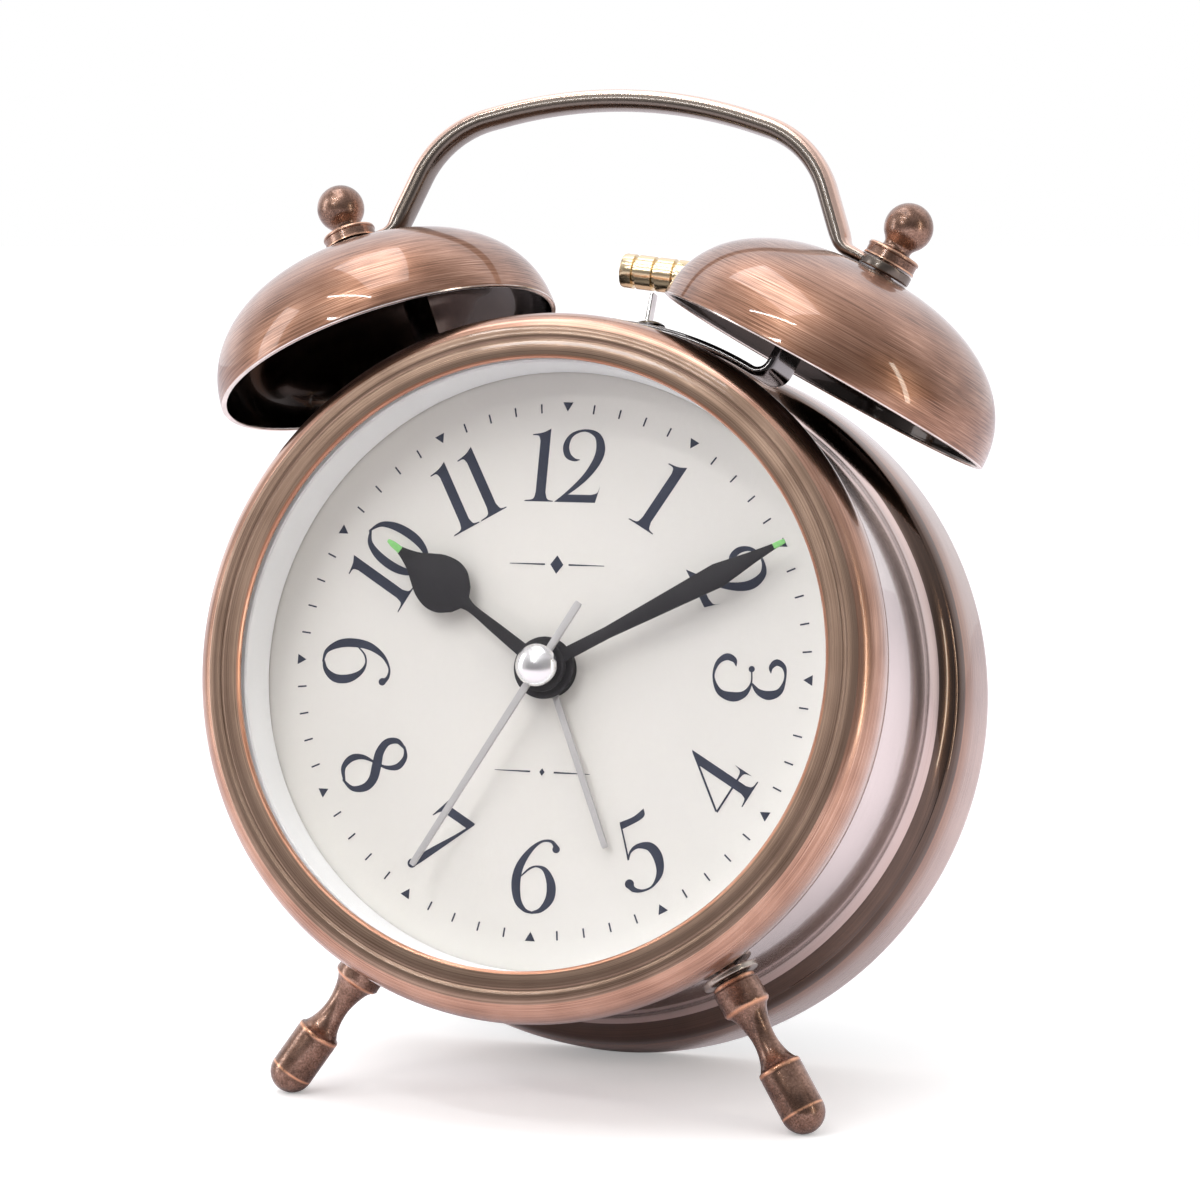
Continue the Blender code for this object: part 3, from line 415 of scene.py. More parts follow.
class Look(Graph):
    """A node material round one Principled shader."""

    def __init__(self, name, **sockets):
        self.material = bpy.data.materials.new(name)
        self.material.use_nodes = True
        super().__init__(self.material.node_tree)
        self.shader = next(n for n in self.tree.nodes if n.type == "BSDF_PRINCIPLED")
        for socket, value in sockets.items():
            title = socket.replace("_", " ").title().replace("Ior", "IOR")
            self.shader.inputs[title].default_value = (*value, 1.0) if isinstance(value, tuple) else value
        self.place = self.node("ShaderNodeTexCoord").outputs["Object"]

    def noise(self, vector, scale, detail=3.0, roughness=0.55):
        made = self.node("ShaderNodeTexNoise",
                         {"Vector": vector, "Scale": scale, "Detail": detail, "Roughness": roughness})
        return made.outputs["Fac"]

    def ramp(self, value, stops, interpolation="LINEAR"):
        made = self.node("ShaderNodeValToRGB", {"Fac": value})
        made.color_ramp.interpolation = interpolation
        elements = made.color_ramp.elements
        while len(elements) < len(stops):
            elements.new(0.5)
        for element, (position, colour) in zip(elements, stops):
            element.position = position
            element.color = (*colour, 1.0)
        return made.outputs["Color"]

    def spread(self, value, low, high, a=0.0, b=1.0):
        """Stretches a noise's middle range to run from a to b."""
        made = self.node("ShaderNodeMapRange", {0: value, 1: low, 2: high, 3: a, 4: b})
        return made.outputs[0]

    def mix(self, share, a, b):
        made = self.node("ShaderNodeMix", data_type="RGBA")
        for key, source in ((0, share), (6, a), (7, b)):
            if isinstance(source, bpy.types.NodeSocket):
                self.tree.links.new(source, made.inputs[key])
            else:
                made.inputs[key].default_value = (*source, 1.0) if isinstance(source, tuple) else source
        return made.outputs[2]

    def vary(self, colour, spread, cloud, grit, share):
        """Varies the colour a little by two noises, of which grit has the given share."""
        dark = tuple(c * (1 - spread) for c in colour)
        light = tuple(min(1.0, c * (1 + spread)) for c in colour)
        tone = self.math("MULTIPLY_ADD", grit, share, self.math("MULTIPLY", cloud, 1 - share))
        self.use("Base Color", self.ramp(tone, [(0.35, dark), (0.65, light)]))

    def use(self, socket, source):
        self.tree.links.new(source, self.shader.inputs[socket])

    def bump(self, height, depth, strength=1.0):
        made = self.node("ShaderNodeBump", {"Height": height, "Distance": depth * MM, "Strength": strength})
        self.use("Normal", made.outputs["Normal"])

    def round_axis(self):
        """Radius, height and the unit vector about the drawn frame's Z axis."""
        place = self.node("ShaderNodeAttribute", attribute_name="drawn").outputs["Vector"]
        parts = self.node("ShaderNodeSeparateXYZ", {0: place})
        flat = self.node("ShaderNodeVectorMath", {0: place, 1: (1.0, 1.0, 0.0)}, operation="MULTIPLY")
        length = self.node("ShaderNodeVectorMath", {0: flat.outputs[0]}, operation="LENGTH")
        unit = self.node("ShaderNodeVectorMath", {0: flat.outputs[0]}, operation="NORMALIZE")
        return length.outputs["Value"], parts.outputs["Z"], unit.outputs[0]


def brushed(name, tones, roughness=0.3, sense=1, line=0.32, arc_share=5.0, coat=0.7, contrast=1.0,
            broad=10.0, anisotropic=0.55):
    """Lacquered metal brushed along circles about the object's Z axis.

    line is the width of a brush mark in mm and arc_share how many fit in a radian. sense is +1
    where radius and height grow together along the surface and -1 where they don't.
    """
    look = Look(name, metallic=1.0, anisotropic=anisotropic, coat_weight=coat, coat_roughness=0.035)
    radius, height, unit = look.round_axis()
    run = look.math("MULTIPLY_ADD", height, float(sense), radius)

    def strokes(width, share, detail):
        across = look.math("MULTIPLY", run, 1.0 / (width * MM))
        around = look.node("ShaderNodeVectorMath", {0: unit, 3: share}, operation="SCALE").outputs[0]
        lift = look.node("ShaderNodeCombineXYZ", {"X": across, "Z": across})
        moved = look.node("ShaderNodeVectorMath", {0: around, 1: lift.outputs[0]}, operation="ADD")
        return look.noise(moved.outputs[0], 1.0, detail)

    fine = strokes(line, arc_share, 3.0)
    middle = strokes(line * 4, arc_share * 0.4, 3.0)
    cloud = look.noise(look.place, 1.0 / (broad * MM), 2.0)
    tone = look.math("MULTIPLY_ADD", look.math("SUBTRACT", fine, 0.5), 1.0 * contrast, 0.5)
    tone = look.math("MULTIPLY_ADD", look.math("SUBTRACT", middle, 0.5), 0.35 * contrast, tone)
    tone = look.math("MULTIPLY_ADD", look.math("SUBTRACT", cloud, 0.5), 0.4 * contrast, tone)
    look.use("Base Color", look.ramp(tone, list(zip((0.18, 0.42, 0.62, 0.86), tones))))
    look.use("Roughness", look.spread(tone, 0.2, 0.8, roughness * 1.35, roughness * 0.75))
    way = look.node("ShaderNodeAttribute", attribute_name="around").outputs["Vector"]
    look.use("Tangent", look.node("ShaderNodeVectorTransform", {0: way}, vector_type="VECTOR",
                                  convert_from="OBJECT", convert_to="WORLD").outputs[0])
    look.bump(fine, 0.012, 0.5)
    return look.material


def mottled(name, base, rubbed_and_lit, ridges=(), speck=0.5, coat=0.5, roughness=0.3):
    """Antique plate: speckled, with bright copper at the given heights in mm, partly rubbed-through wear and
    partly a painted highlight on the ridges.
    """
    look = Look(name, metallic=1.0, coat_weight=coat, coat_roughness=0.08)
    height = look.round_axis()[1]
    grain = look.noise(look.place, 1.0 / (speck * MM), 4.0, 0.65)
    cloud = look.noise(look.place, 1.0 / (4.0 * MM), 3.0)
    tone = look.math("MULTIPLY_ADD", cloud, 0.5, look.math("MULTIPLY", grain, 0.5))
    colour = look.ramp(tone, list(zip((0.36, 0.47, 0.56, 0.68), base)))
    # Bright copper bands at the ridge heights: rubbed wear and a painted highlight together
    for centre, width in ridges:
        away = look.math("ABSOLUTE", look.math("SUBTRACT", height, centre * MM))
        mark = look.spread(look.math("MULTIPLY_ADD", grain, 0.5 * width * MM, away),
                           0.35 * width * MM, 1.1 * width * MM, 0.9, 0.0)
        colour = look.mix(mark, colour, rubbed_and_lit)
    look.use("Base Color", colour)
    look.use("Roughness", look.spread(grain, 0.3, 0.7, roughness * 1.4, roughness * 0.7))
    look.bump(grain, 0.02, 0.4)
    return look.material


def plain_metal(name, colour, roughness, grain=0.6, coat=0.0, spread=0.25, scratch=0.004):
    """Plated or polished metal with faint cloudiness and fine scratches."""
    look = Look(name, metallic=1.0, coat_weight=coat, coat_roughness=0.03)
    cloud = look.noise(look.place, 1.0 / (grain * 8 * MM), 3.0)
    grit = look.noise(look.place, 1.0 / (grain * 0.3 * MM), 3.0)
    look.vary(colour, spread, cloud, grit, 0.35)
    look.use("Roughness", look.spread(cloud, 0.3, 0.7, roughness * 0.75, roughness * 1.3))
    if scratch:
        look.bump(grit, scratch, 0.3)
    return look.material


def moulded(name, colour, roughness=0.45, grain=0.35, depth=0.02, spread=0.18, level=0.5):
    """Moulded plastic or paint with a fine texture."""
    look = Look(name, specular_ior_level=level)
    grit = look.noise(look.place, 1.0 / (grain * MM), 3.0)
    cloud = look.noise(look.place, 1.0 / (12 * MM), 2.0)
    look.vary(colour, spread, cloud, grit, 0.4)
    look.use("Roughness", look.spread(grit, 0.3, 0.7, roughness * 0.85, roughness * 1.15))
    look.bump(grit, depth, 0.5)
    return look.material


def glass(name):
    look = Look(name, roughness=0.0, transmission_weight=1.0, ior=1.45, base_color=(1.0, 1.0, 1.0))
    haze = look.noise(look.place, 1.0 / (20 * MM), 2.0)
    look.use("Roughness", look.spread(haze, 0.4, 0.8, 0.0, 0.012))
    return look.material


def banded(name, bands, roughness, metallic):
    """Bands of colour along the piece's box from left to right, each from its share of the width."""
    look = Look(name, metallic=metallic)
    place = look.node("ShaderNodeTexCoord").outputs["Generated"]
    parts = look.node("ShaderNodeSeparateXYZ", {0: place})
    colour = look.ramp(parts.outputs["X"], bands, "CONSTANT")
    grit = look.noise(look.place, 1.0 / (0.6 * MM), 2.0)
    look.use("Base Color", look.mix(look.math("MULTIPLY", grit, 0.2), colour, (0.02, 0.02, 0.02)))
    look.use("Roughness", look.spread(grit, 0.3, 0.7, roughness * 0.8, roughness * 1.2))
    return look.material


COPPER_TONES = ((0.085, 0.039, 0.023), (0.25, 0.122, 0.073), (0.39, 0.21, 0.135), (0.62, 0.375, 0.262))
BEZEL_TONES = ((0.20, 0.10, 0.064), (0.42, 0.228, 0.153), (0.57, 0.335, 0.235), (0.78, 0.52, 0.395))
# Dark tones for the steep flare and the rear ring by the seam: painted shade, standing in for the dark crease
# there
SEAM_PAINTED_SHADE_TONES = ((0.03, 0.018, 0.012), (0.075, 0.045, 0.031), (0.13, 0.078, 0.054), (0.24, 0.145, 0.10))
WAIST_TONES = ((0.44, 0.33, 0.295), (0.60, 0.475, 0.435), (0.69, 0.56, 0.52), (0.79, 0.66, 0.62))
FACE_TONES = ((0.13, 0.083, 0.056), (0.25, 0.168, 0.12), (0.34, 0.235, 0.172), (0.47, 0.34, 0.255))
LIP_TONES = ((0.34, 0.15, 0.09), (0.5, 0.24, 0.15), (0.62, 0.33, 0.22), (0.8, 0.5, 0.36))
BRONZE = ((0.085, 0.047, 0.033), (0.20, 0.115, 0.08), (0.31, 0.185, 0.135), (0.46, 0.30, 0.225))
RUBBED_AND_LIT_COPPER = (0.86, 0.45, 0.27)

bell_copper = brushed("bell_copper", COPPER_TONES, 0.37, sense=-1, line=0.13, arc_share=4.5, coat=1.0,
                      contrast=1.35, anisotropic=0.2)
bezel_copper = brushed("bezel_copper", BEZEL_TONES, 0.29, sense=1, line=0.14, arc_share=3.0, coat=0.9,
                       contrast=1.35, anisotropic=0.35)
bezel_face = brushed("bezel_face", FACE_TONES, 0.36, sense=1, line=0.11, arc_share=1.6, coat=0.3,
                     contrast=1.2, anisotropic=0.5)
lip_copper = brushed("lip_copper", LIP_TONES, 0.3, sense=1, line=0.2, arc_share=2.0, coat=0.5)
waist_copper = brushed("waist_copper", WAIST_TONES, 0.17, sense=1, line=0.2, arc_share=1.6, coat=1.0,
                       contrast=0.5, anisotropic=0.45)
seam_painted_shade = brushed("seam_painted_shade", SEAM_PAINTED_SHADE_TONES, 0.22, sense=1, line=0.2, arc_share=2.0, coat=1.0,
                       contrast=0.7, anisotropic=0.3)
ring_copper = brushed("ring_copper", COPPER_TONES, 0.24, sense=1, line=0.18, arc_share=3.0, coat=1.0,
                      contrast=0.7, anisotropic=0.35)
rim_silver = plain_metal("rim_silver", (0.78, 0.72, 0.68), 0.2)
bell_inside = plain_metal("bell_inside", (0.035, 0.026, 0.022), 0.16, coat=0.6)
black_nickel = plain_metal("black_nickel", (0.075, 0.07, 0.07), 0.12, coat=0.6)
gunmetal = plain_metal("gunmetal", (0.15, 0.125, 0.105), 0.28, grain=3.0, coat=0.6, spread=0.08, scratch=0.0)
# A lit copy of the gunmetal: the handle's outer faces painted bright copper, a painted highlight for light from
# above
handle_painted_lit_top = plain_metal("handle_painted_lit_top", (0.75, 0.54, 0.44), 0.28, grain=3.0, coat=0.6, spread=0.08,
                         scratch=0.0)
steel = plain_metal("steel", (0.62, 0.61, 0.59), 0.24)
bright_steel = plain_metal("bright_steel", (0.82, 0.80, 0.78), 0.14)
brass = plain_metal("brass", (0.80, 0.66, 0.43), 0.2, grain=1.5, coat=0.2, spread=0.04, scratch=0.0)
chrome = plain_metal("chrome", (0.97, 0.97, 0.98), 0.24, spread=0.02, scratch=0.0)
washer_steel = plain_metal("washer_steel", (0.46, 0.42, 0.37), 0.25)
# Leg ridges painted bright copper: rubbed wear and a painted highlight
leg_bronze = mottled("leg_bronze", BRONZE, RUBBED_AND_LIT_COPPER, speck=0.35,
                     ridges=((-57.0, 0.4), (-61.6, 0.5), (-72.4, 0.5), (-80.0, 0.35)))
# Finial ridges painted bright copper: rubbed wear and a painted highlight
finial_bronze = mottled("finial_bronze", BRONZE, (0.76, 0.46, 0.31), speck=0.3,
                        ridges=((23.75, 0.35), (21.8, 0.3)))
ring_white = moulded("ring_white", (0.95, 0.965, 0.98), 0.6, grain=1.2, depth=0.004, spread=0.02)
black_plastic = moulded("black_plastic", (0.018, 0.018, 0.019), 0.42, grain=0.45, depth=0.03)
knob_plastic = moulded("knob_plastic", (0.014, 0.014, 0.015), 0.3, grain=0.3, depth=0.01)
hand_black = moulded("hand_black", (0.017, 0.016, 0.019), 0.6, grain=0.25, depth=0.006, level=0.25)
hand_grey = moulded("hand_grey", (0.44, 0.43, 0.43), 0.4, grain=0.25, depth=0.002, spread=0.06)
lume = moulded("lume", (0.24, 0.62, 0.19), 0.6, grain=0.5, depth=0.03)
ink = moulded("ink", (0.042, 0.048, 0.072), 0.7, grain=0.3, depth=0.002, spread=0.08, level=0.15)
gear_plastic = moulded("gear_plastic", (0.75, 0.73, 0.66), 0.4)
housing_plastic = moulded("housing_plastic", (0.03, 0.03, 0.032), 0.5)
circuit = moulded("circuit", (0.02, 0.16, 0.06), 0.35, grain=1.5, spread=0.4)
winding = plain_metal("winding", (0.62, 0.25, 0.11), 0.3, grain=0.4, coat=0.3)
battery_wrap = banded("battery_wrap", [(0.0, (0.02, 0.02, 0.022)), (0.7, (0.45, 0.25, 0.08)),
                                       (0.965, (0.7, 0.7, 0.7))], 0.3, 0.4)
lens_glass = glass("lens_glass")


def dial_paper():
    look = Look("dial_paper", roughness=0.55)
    fibre = look.noise(look.place, 1.0 / (0.7 * MM), 4.0, 0.7)
    cloud = look.noise(look.place, 1.0 / (25 * MM), 2.0)
    tone = look.math("MULTIPLY_ADD", fibre, 0.5, look.math("MULTIPLY", cloud, 0.5))
    look.use("Base Color", look.ramp(tone, [(0.35, (0.725, 0.71, 0.665)), (0.65, (0.755, 0.74, 0.70))]))
    look.bump(fibre, 0.004, 0.4)
    return look.material


# ---- body ----
def make_bezel():
    lip = [(OPENING_R + 0.35, -11.9), (OPENING_R, -12.2), (OPENING_R, -12.75), (OPENING_R + 0.22, -13.0),
           (OPENING_R + 0.5, -13.05)]
    face = spline([(OPENING_R + 0.5, -13.05), (OPENING_R + 1.6, -13.12), (51.3, -13.08)], 8)
    face += [(51.42, -12.98), (51.6, -12.98)]
    face += spline([(51.72, -13.1), (52.2, -13.19), (52.9, -13.15), (53.7, -12.95)], 5)
    roll = spline([(53.7, -12.95), (54.7, -12.35), (55.7, -11.2), (56.35, -9.7), (56.68, -7.8), (56.65, -5.6),
                   (56.3, -3.2), (55.75, -1.2), (55.3, 0.4)], 6)
    inside = [(55.3, 0.4), (54.2, 0.4), (55.0, -6.0), (54.6, -9.0), (52.8, -11.2), (51.7, -11.9),
              (OPENING_R + 0.35, -11.9)]
    turned("bezel_metal", [(lip, 2), (face, 1), (roll, 0), (inside, 3)], STEPS_BODY, SPINDLE,
           [bezel_copper, bezel_face, lip_copper, black_nickel], ["bezel"], ring=True)


def make_lens_and_dial():
    front, back = LENS_Y
    outline = [(0, back), (LENS_R - 0.3, back), (LENS_R, back - 0.3), (LENS_R, front + 0.3),
               (LENS_R - 0.3, front), (0, front)]
    lens = turned("lens_glass_disc", outline, STEPS_BODY, SPINDLE, lens_glass, ["lens"])
    lens.visible_shadow = False
    wall = [(48.4, -0.3), (48.4, -9.6), (48.7, -9.9), (50.0, -9.9), (50.0, -0.3)]
    turned("dial_wall", wall, STEPS_BODY, SPINDLE, ring_white, ["dial_ring"], ring=True)
    dial = [(DIAL_HOLE_R, 0.75), (DIAL_HOLE_R, 0.0), (DIAL_R, 0.0), (DIAL_R, 0.75)]
    turned("dial_plate", dial, STEPS_BODY, SPINDLE, dial_paper(), ["dial"], ring=True)


def make_case():
    centre = (WAIST_R + FLARE_R, FLARE_Y)
    waist = [(WAIST_R, 0.7), (WAIST_R, 8.0), (WAIST_R, 20.0), (WAIST_R, FLARE_Y)]
    flare = [waist[-1]] + arc(centre, FLARE_R, 180, 180 - FLARE_ANGLE, 24)[1:]
    steep_y = FLARE_Y + FLARE_R * math.sin(math.radians(STEEP_ANGLE))
    steep = next(i for i, (_, y) in enumerate(flare) if y > steep_y)
    inner_r = FLARE_R + CASE_WALL
    inner_angle = math.degrees(math.asin(FLARE_R * math.sin(math.radians(FLARE_ANGLE)) / inner_r))
    inner = [(WAIST_R - CASE_WALL, 0.7), (WAIST_R - CASE_WALL, 20.0)]
    inner += arc(centre, inner_r, 180, 180 - inner_angle, 12)
    # The steep end of the flare takes material 2, the painted shade by the seam
    sections = [(waist + flare[1:steep], 0), (flare[steep - 1:], 2), (flare[-1:] + inner[::-1], 1)]
    shell = turned("case_metal", sections, STEPS_BODY, SPINDLE, [waist_copper, bell_inside, seam_painted_shade],
                   ["case_shell"], ring=True)
    low, high = HAMMER_SLOT_X
    half = HAMMER_SLOT_HALF_W
    ends = arc((high - half, HAMMER_Y), half, -90, 90, 10) + arc((low + half, HAMMER_Y), half, 90, 270, 10)
    cut(shell, slab([ends], -60.0, -45.0), SPINDLE)


def make_rear_ring():
    outer = spline([(58.2, SEAM_Y), (58.75, 38.75), (59.25, 39.6), (59.75, 41.2), (60.2, 43.6), (60.5, 47.0),
                    (60.7, 50.5), (REAR_R, 53.4), (60.53, 54.85), (60.05, 55.7), (59.3, 56.1)], 5)
    lip = [(59.3, 56.1), (57.6, 56.1), (57.2, 55.7), (57.2, 55.2)]
    inner = [(57.2, 55.2), (59.6, 54.6), (59.6, 52.3), (52.0, 52.3), (52.0, 51.2), (59.6, 51.2), (59.4, 46.0),
             (58.6, 40.4), (56.8, SEAM_Y), (58.2, SEAM_Y)]
    crest = next(i for i, (_, y) in enumerate(outer) if y > CREST_Y)
    # The rear ring below the crest takes material 2, the painted shade by the seam
    turned("rear_ring_metal", [(outer[:crest], 2), (outer[crest - 1:], 0), (lip, 1), (inner[:-1], 1)],
           STEPS_BODY, SPINDLE, [ring_copper, black_nickel, seam_painted_shade], ["rear_ring"], ring=True)


def cover_screw_places():
    return [circle_point(COVER_SCREW_FROM_MIDDLE, 90 - angle) for angle in COVER_SCREW_ANGLES]


def make_back_cover():
    front, back = COVER_Y
    outline = [(0, front), (COVER_R - 0.2, front), (COVER_R, front + 0.2), (COVER_R, back - 0.3),
               (COVER_R - 0.3, back), (51.6, back), (51.3, back - 0.25), (50.9, back - 0.25), (50.6, back),
               (0, back)]
    cover = turned("back_cover_moulding", outline, STEPS_BODY, SPINDLE, black_plastic,
                   ["back_cover"])
    cut(cover, block((-BAY_HALF_X, 36.0, BAY_Z[0]), (BAY_HALF_X, 60.0, BAY_Z[1])), CLOCK)
    x, z = SWITCH_AT
    cut(cover, block((x - 4.5, 50.0, z - 1.4), (x + 4.5, 57.0, z + 1.4)), CLOCK)
    holes = [(at, 1.6) for at in (TIME_KNOB_AT, ALARM_KNOB_AT)] + [(at, 1.3) for at in cover_screw_places()]
    for (x, z), radius in holes:
        drill(cover, radius, 50, 57, CLOCK @ shift(x, 0, z) @ TO_REAR)
    half_x, half_z = SOUND_SLOT_HALF
    for column in range(-4, 5):
        for row in range(-1, 2):
            x = column * SOUND_SLOT_PITCH[0]
            z = SOUND_SLOTS_Z + row * SOUND_SLOT_PITCH[1]
            cut(cover, block((x - half_x, 50.0, z - half_z), (x + half_x, 57.0, z + half_z)), CLOCK)
    x_out = BAY_HALF_X + BAY_WALL
    bottom, top = BAY_Z
    tray = block((-x_out, BAY_FLOOR_Y - BAY_WALL, bottom - BAY_WALL), (x_out, BAY_FLOOR_Y, top + BAY_WALL))
    for x_low, x_high, z_low, z_high in ((-x_out, x_out, bottom - BAY_WALL, bottom),
                                         (-x_out, x_out, top, top + BAY_WALL),
                                         (-x_out, -BAY_HALF_X, bottom, top), (BAY_HALF_X, x_out, bottom, top)):
        block((x_low, BAY_FLOOR_Y, z_low), (x_high, front - 0.02, z_high), tray)
    put("battery_tray", tray, CLOCK, black_plastic)


def add_turned(shape, outline, steps, y):
    """Adds a solid turned about the clock's y axis, its heights counted from y, to a shape."""
    solid = lathe(outline, steps)
    bmesh.ops.transform(solid, matrix=Matrix.Translation((0, y, 0)) @ TO_REAR, verts=solid.verts)
    merged(shape, solid)


def make_rear_controls():
    base = COVER_Y[1] + 0.8
    for name, (x, z), body in (("time_set_knob", TIME_KNOB_AT, "time_knob"),
                               ("alarm_set_knob", ALARM_KNOB_AT, "alarm_knob")):
        pinion_y = PINION_Y[name]
        outline = []
        for i in range(KNOB_FLUTES):
            middle = 360 / KNOB_FLUTES * i
            outline += [circle_point(KNOB_R, middle - 3.2), circle_point(KNOB_R, middle + 3.2),
                        circle_point(KNOB_R - 0.4, middle + 6.0), circle_point(KNOB_R - 0.4, middle + 9.0)]
        knob = slab([outline], base + 4.1, base)
        cap = [(0, 4.0), (4.4, 4.0), (4.4, 4.25), (4.15, 4.5), (3.2, 4.5), (2.9, 4.2), (0, 4.2)]
        add_turned(knob, cap, 48, base)
        shaft_start = pinion_y + 0.5 - base
        add_turned(knob, [(0, shaft_start), (1.2, shaft_start), (1.2, 0.3), (0, 0.3)], 32, base)
        tooth = ((1.93, -9.4), (2.92, -3.6), (2.92, 3.6), (1.93, 9.4))
        teeth = []
        for i in range(PINION_TEETH):
            middle = 360 / PINION_TEETH * i
            teeth += [circle_point(r, middle + share) for r, share in tooth]
        slab([teeth], pinion_y, pinion_y + 1.0, knob)
        put(name + "_fluted", knob, CLOCK @ shift(x, 0, z), knob_plastic, [name], body)
    x, z = SWITCH_AT
    slider = block((x - 4.0, 54.5, z - 1.1), (x, 56.0, z + 1.1), bevel=0.25)
    for k in range(4):
        block((x - 3.4 + k * 0.85, 55.9, z - 0.9), (x - 3.0 + k * 0.85, 56.4, z + 0.9), slider, bevel=0.1)
    block((x - 3.0, 50.7, z - 1.1), (x - 1.0, 54.9, z + 1.1), slider)
    put("alarm_switch_slider", slider, CLOCK, knob_plastic, ["alarm_switch"], "switch")
    door = block((-BAY_HALF_X + GAP, 52.9, BAY_Z[0] + GAP), (BAY_HALF_X - GAP, 54.2, BAY_Z[1] - GAP), bevel=0.3)
    for k in range(5):
        z = BAY_Z[1] - 5.4 + k * 0.9
        block((-6 + abs(k - 2) * 0.6, 54.0, z), (6 - abs(k - 2) * 0.6, 54.65, z + 0.45), door, bevel=0.12)
    put("battery_door_panel", door, CLOCK, black_plastic, ["battery_door"], "door")
    for number, (x, z) in enumerate(cover_screw_places(), start=1):
        head = [(0, 55.2), (0.9, 55.25), (1.5, 55.5), (2.0, 55.2), (2.2, 54.8), (2.2, 54.5), (1.0, 54.5),
                (1.0, 48.5), (0, 48.0)]
        screw = turned("cover_screw_%d_head" % number, head, 40, CLOCK @ shift(x, 0, z) @ TO_REAR, steel,
                       ["cover_screw_%d" % number])
        for spin in (15, 105):
            cut(screw, block((-1.25, 54.95, -0.22), (1.25, 56.5, 0.22)), CLOCK @ shift(x, 0, z) @ turn(spin))


# ---- legs ----
def make_legs():
    for side, name in ((-1, "left"), (1, "right")):
        frame_here = CLOCK @ shift(0, HARDWARE_Y, 0) @ turn(-side * LEG_ANGLE)
        dome_centre = (frame_here.translation.z / MM - FOOT_R) / frame_here.col[2].z
        top = -LEG_TOP
        profile = [(0, -49.0), (1.6, -49.0), (1.6, top), (3.3, top), (3.55, top - 0.15), (3.6, top - 0.5),
                   (3.6, top - 0.9), (3.9, top - 1.15), (3.9, top - 4.3), (3.95, top - 4.75), (3.7, top - 5.15),
                   (3.3, top - 5.4)]
        neck = spline([(3.3, top - 5.4), (2.75, top - 6.4), (2.2, top - 8.2), (1.9, top - 10.3),
                       (2.05, top - 12.4), (2.55, top - 14.2), (3.15, top - 15.3)], 6)
        foot = [(3.45, top - 15.45), (3.6, top - 15.75), (3.6, top - 16.2), (3.55, top - 16.4),
                (3.6, top - 16.6), (FOOT_R, -dome_centre)]
        dome = [(r, -h) for h, r in arc((dome_centre, 0), FOOT_R, 90, 0, 12)]
        turned(name + "_leg_turned", profile + neck[1:] + foot + dome[1:], STEPS_SMALL, frame_here, leg_bronze,
               [name + "_leg"], sharp=50)
        washer = rounded([(1.9, top + 0.3), (1.9, top + 1.3), (WASHER_R, top + 1.3), (WASHER_R, top + 0.3)],
                         0.25, closed=True)
        turned(name + "_leg_washer_plate", washer, STEPS_SMALL, frame_here, washer_steel,
               [name + "_leg_washer"], ring=True)


# ---- bells, bracket, handle ----
def bell_point(u, h):
    a = math.radians(BELL_ANGLE)
    t = math.radians(BELL_TILT)
    return Vector((BELL_DISTANCE * math.sin(a) + u * math.cos(t) + h * math.sin(t),
                   BELL_DISTANCE * math.cos(a) - u * math.sin(t) + h * math.cos(t)))


def bell_frame(side):
    x, z = bell_point(0, 0)
    return HARDWARE @ shift(side * x, HARDWARE_Y, z) @ turn(side * BELL_TILT)


def dome(radius, height, count):
    """From the crown down to the rim, with sides that end parallel to the axis."""
    angles = [math.radians(90 * (1 - (i / count) ** 0.9)) for i in range(count + 1)]
    return [(radius * math.cos(t) ** 0.86, height * math.sin(t) ** 0.92) for t in angles]


def make_bell(name, side):
    hole_r = 1.9
    outer = [p for p in dome(BELL_R, BELL_H, 64) if p[0] > hole_r]
    outer = [(hole_r, BELL_H)] + outer[:-1] + [(BELL_R, 0.25)]
    rim = [(BELL_R, 0.25), (BELL_R - 0.1, 0.06), (BELL_R - 0.25, 0.0), (BELL_R - BELL_WALL + 0.25, 0.0),
           (BELL_R - BELL_WALL + 0.06, 0.1), (BELL_R - BELL_WALL, 0.3)]
    inner = [p for p in dome(BELL_R - BELL_WALL, BELL_H - BELL_WALL, 48) if p[0] > hole_r][:-1][::-1]
    inner = [(BELL_R - BELL_WALL, 0.3)] + inner + [(hole_r, BELL_H - BELL_WALL)]
    turned(name + "_bell_shell", [(outer, 0), (rim, 1), (inner, 2)], STEPS_BELL, bell_frame(side),
           [bell_copper, rim_silver, bell_inside], [name + "_bell"], ring=True, sharp=30)
    ball = [(r, 28.4 + h) for r, h in arc((0, 0), 4.0, 90, -46, 24)]
    neck = spline([ball[-1], (2.45, 25.0), (2.4, 24.4), (2.75, 24.0)], 4)
    collar = [(2.75, 23.95), (4.1, 23.95), (4.4, 23.8), (4.5, 23.55), (4.5, 23.35), (4.35, 23.2), (4.35, 22.1),
              (4.5, 21.95), (4.5, 21.7), (1.6, 21.7), (1.6, 13.2), (0, 13.2)]
    turned(name + "_finial_turned", ball + neck[1:] + collar, STEPS_SMALL, bell_frame(side), finial_bronze,
           [name + "_finial"], sharp=42)


def filleted(points, radii, count=8):
    """A path through the points, each inner corner rounded by an arc of its radius."""
    path = [Vector(points[0])]
    for before, corner, after, radius in zip(points, points[1:], points[2:], radii):
        corner = Vector(corner)
        into = (corner - Vector(before)).normalized()
        out = (Vector(after) - corner).normalized()
        angle = into.angle_signed(out)
        start = corner - into * radius * math.tan(abs(angle) / 2)
        side = Vector((into.y, -into.x)) * (1 if angle > 0 else -1)
        centre = start + side * radius
        for i in range(count + 1):
            path.append(centre + Matrix.Rotation(-angle * i / count, 2) @ (start - centre))
    path.append(Vector(points[-1]))
    return path


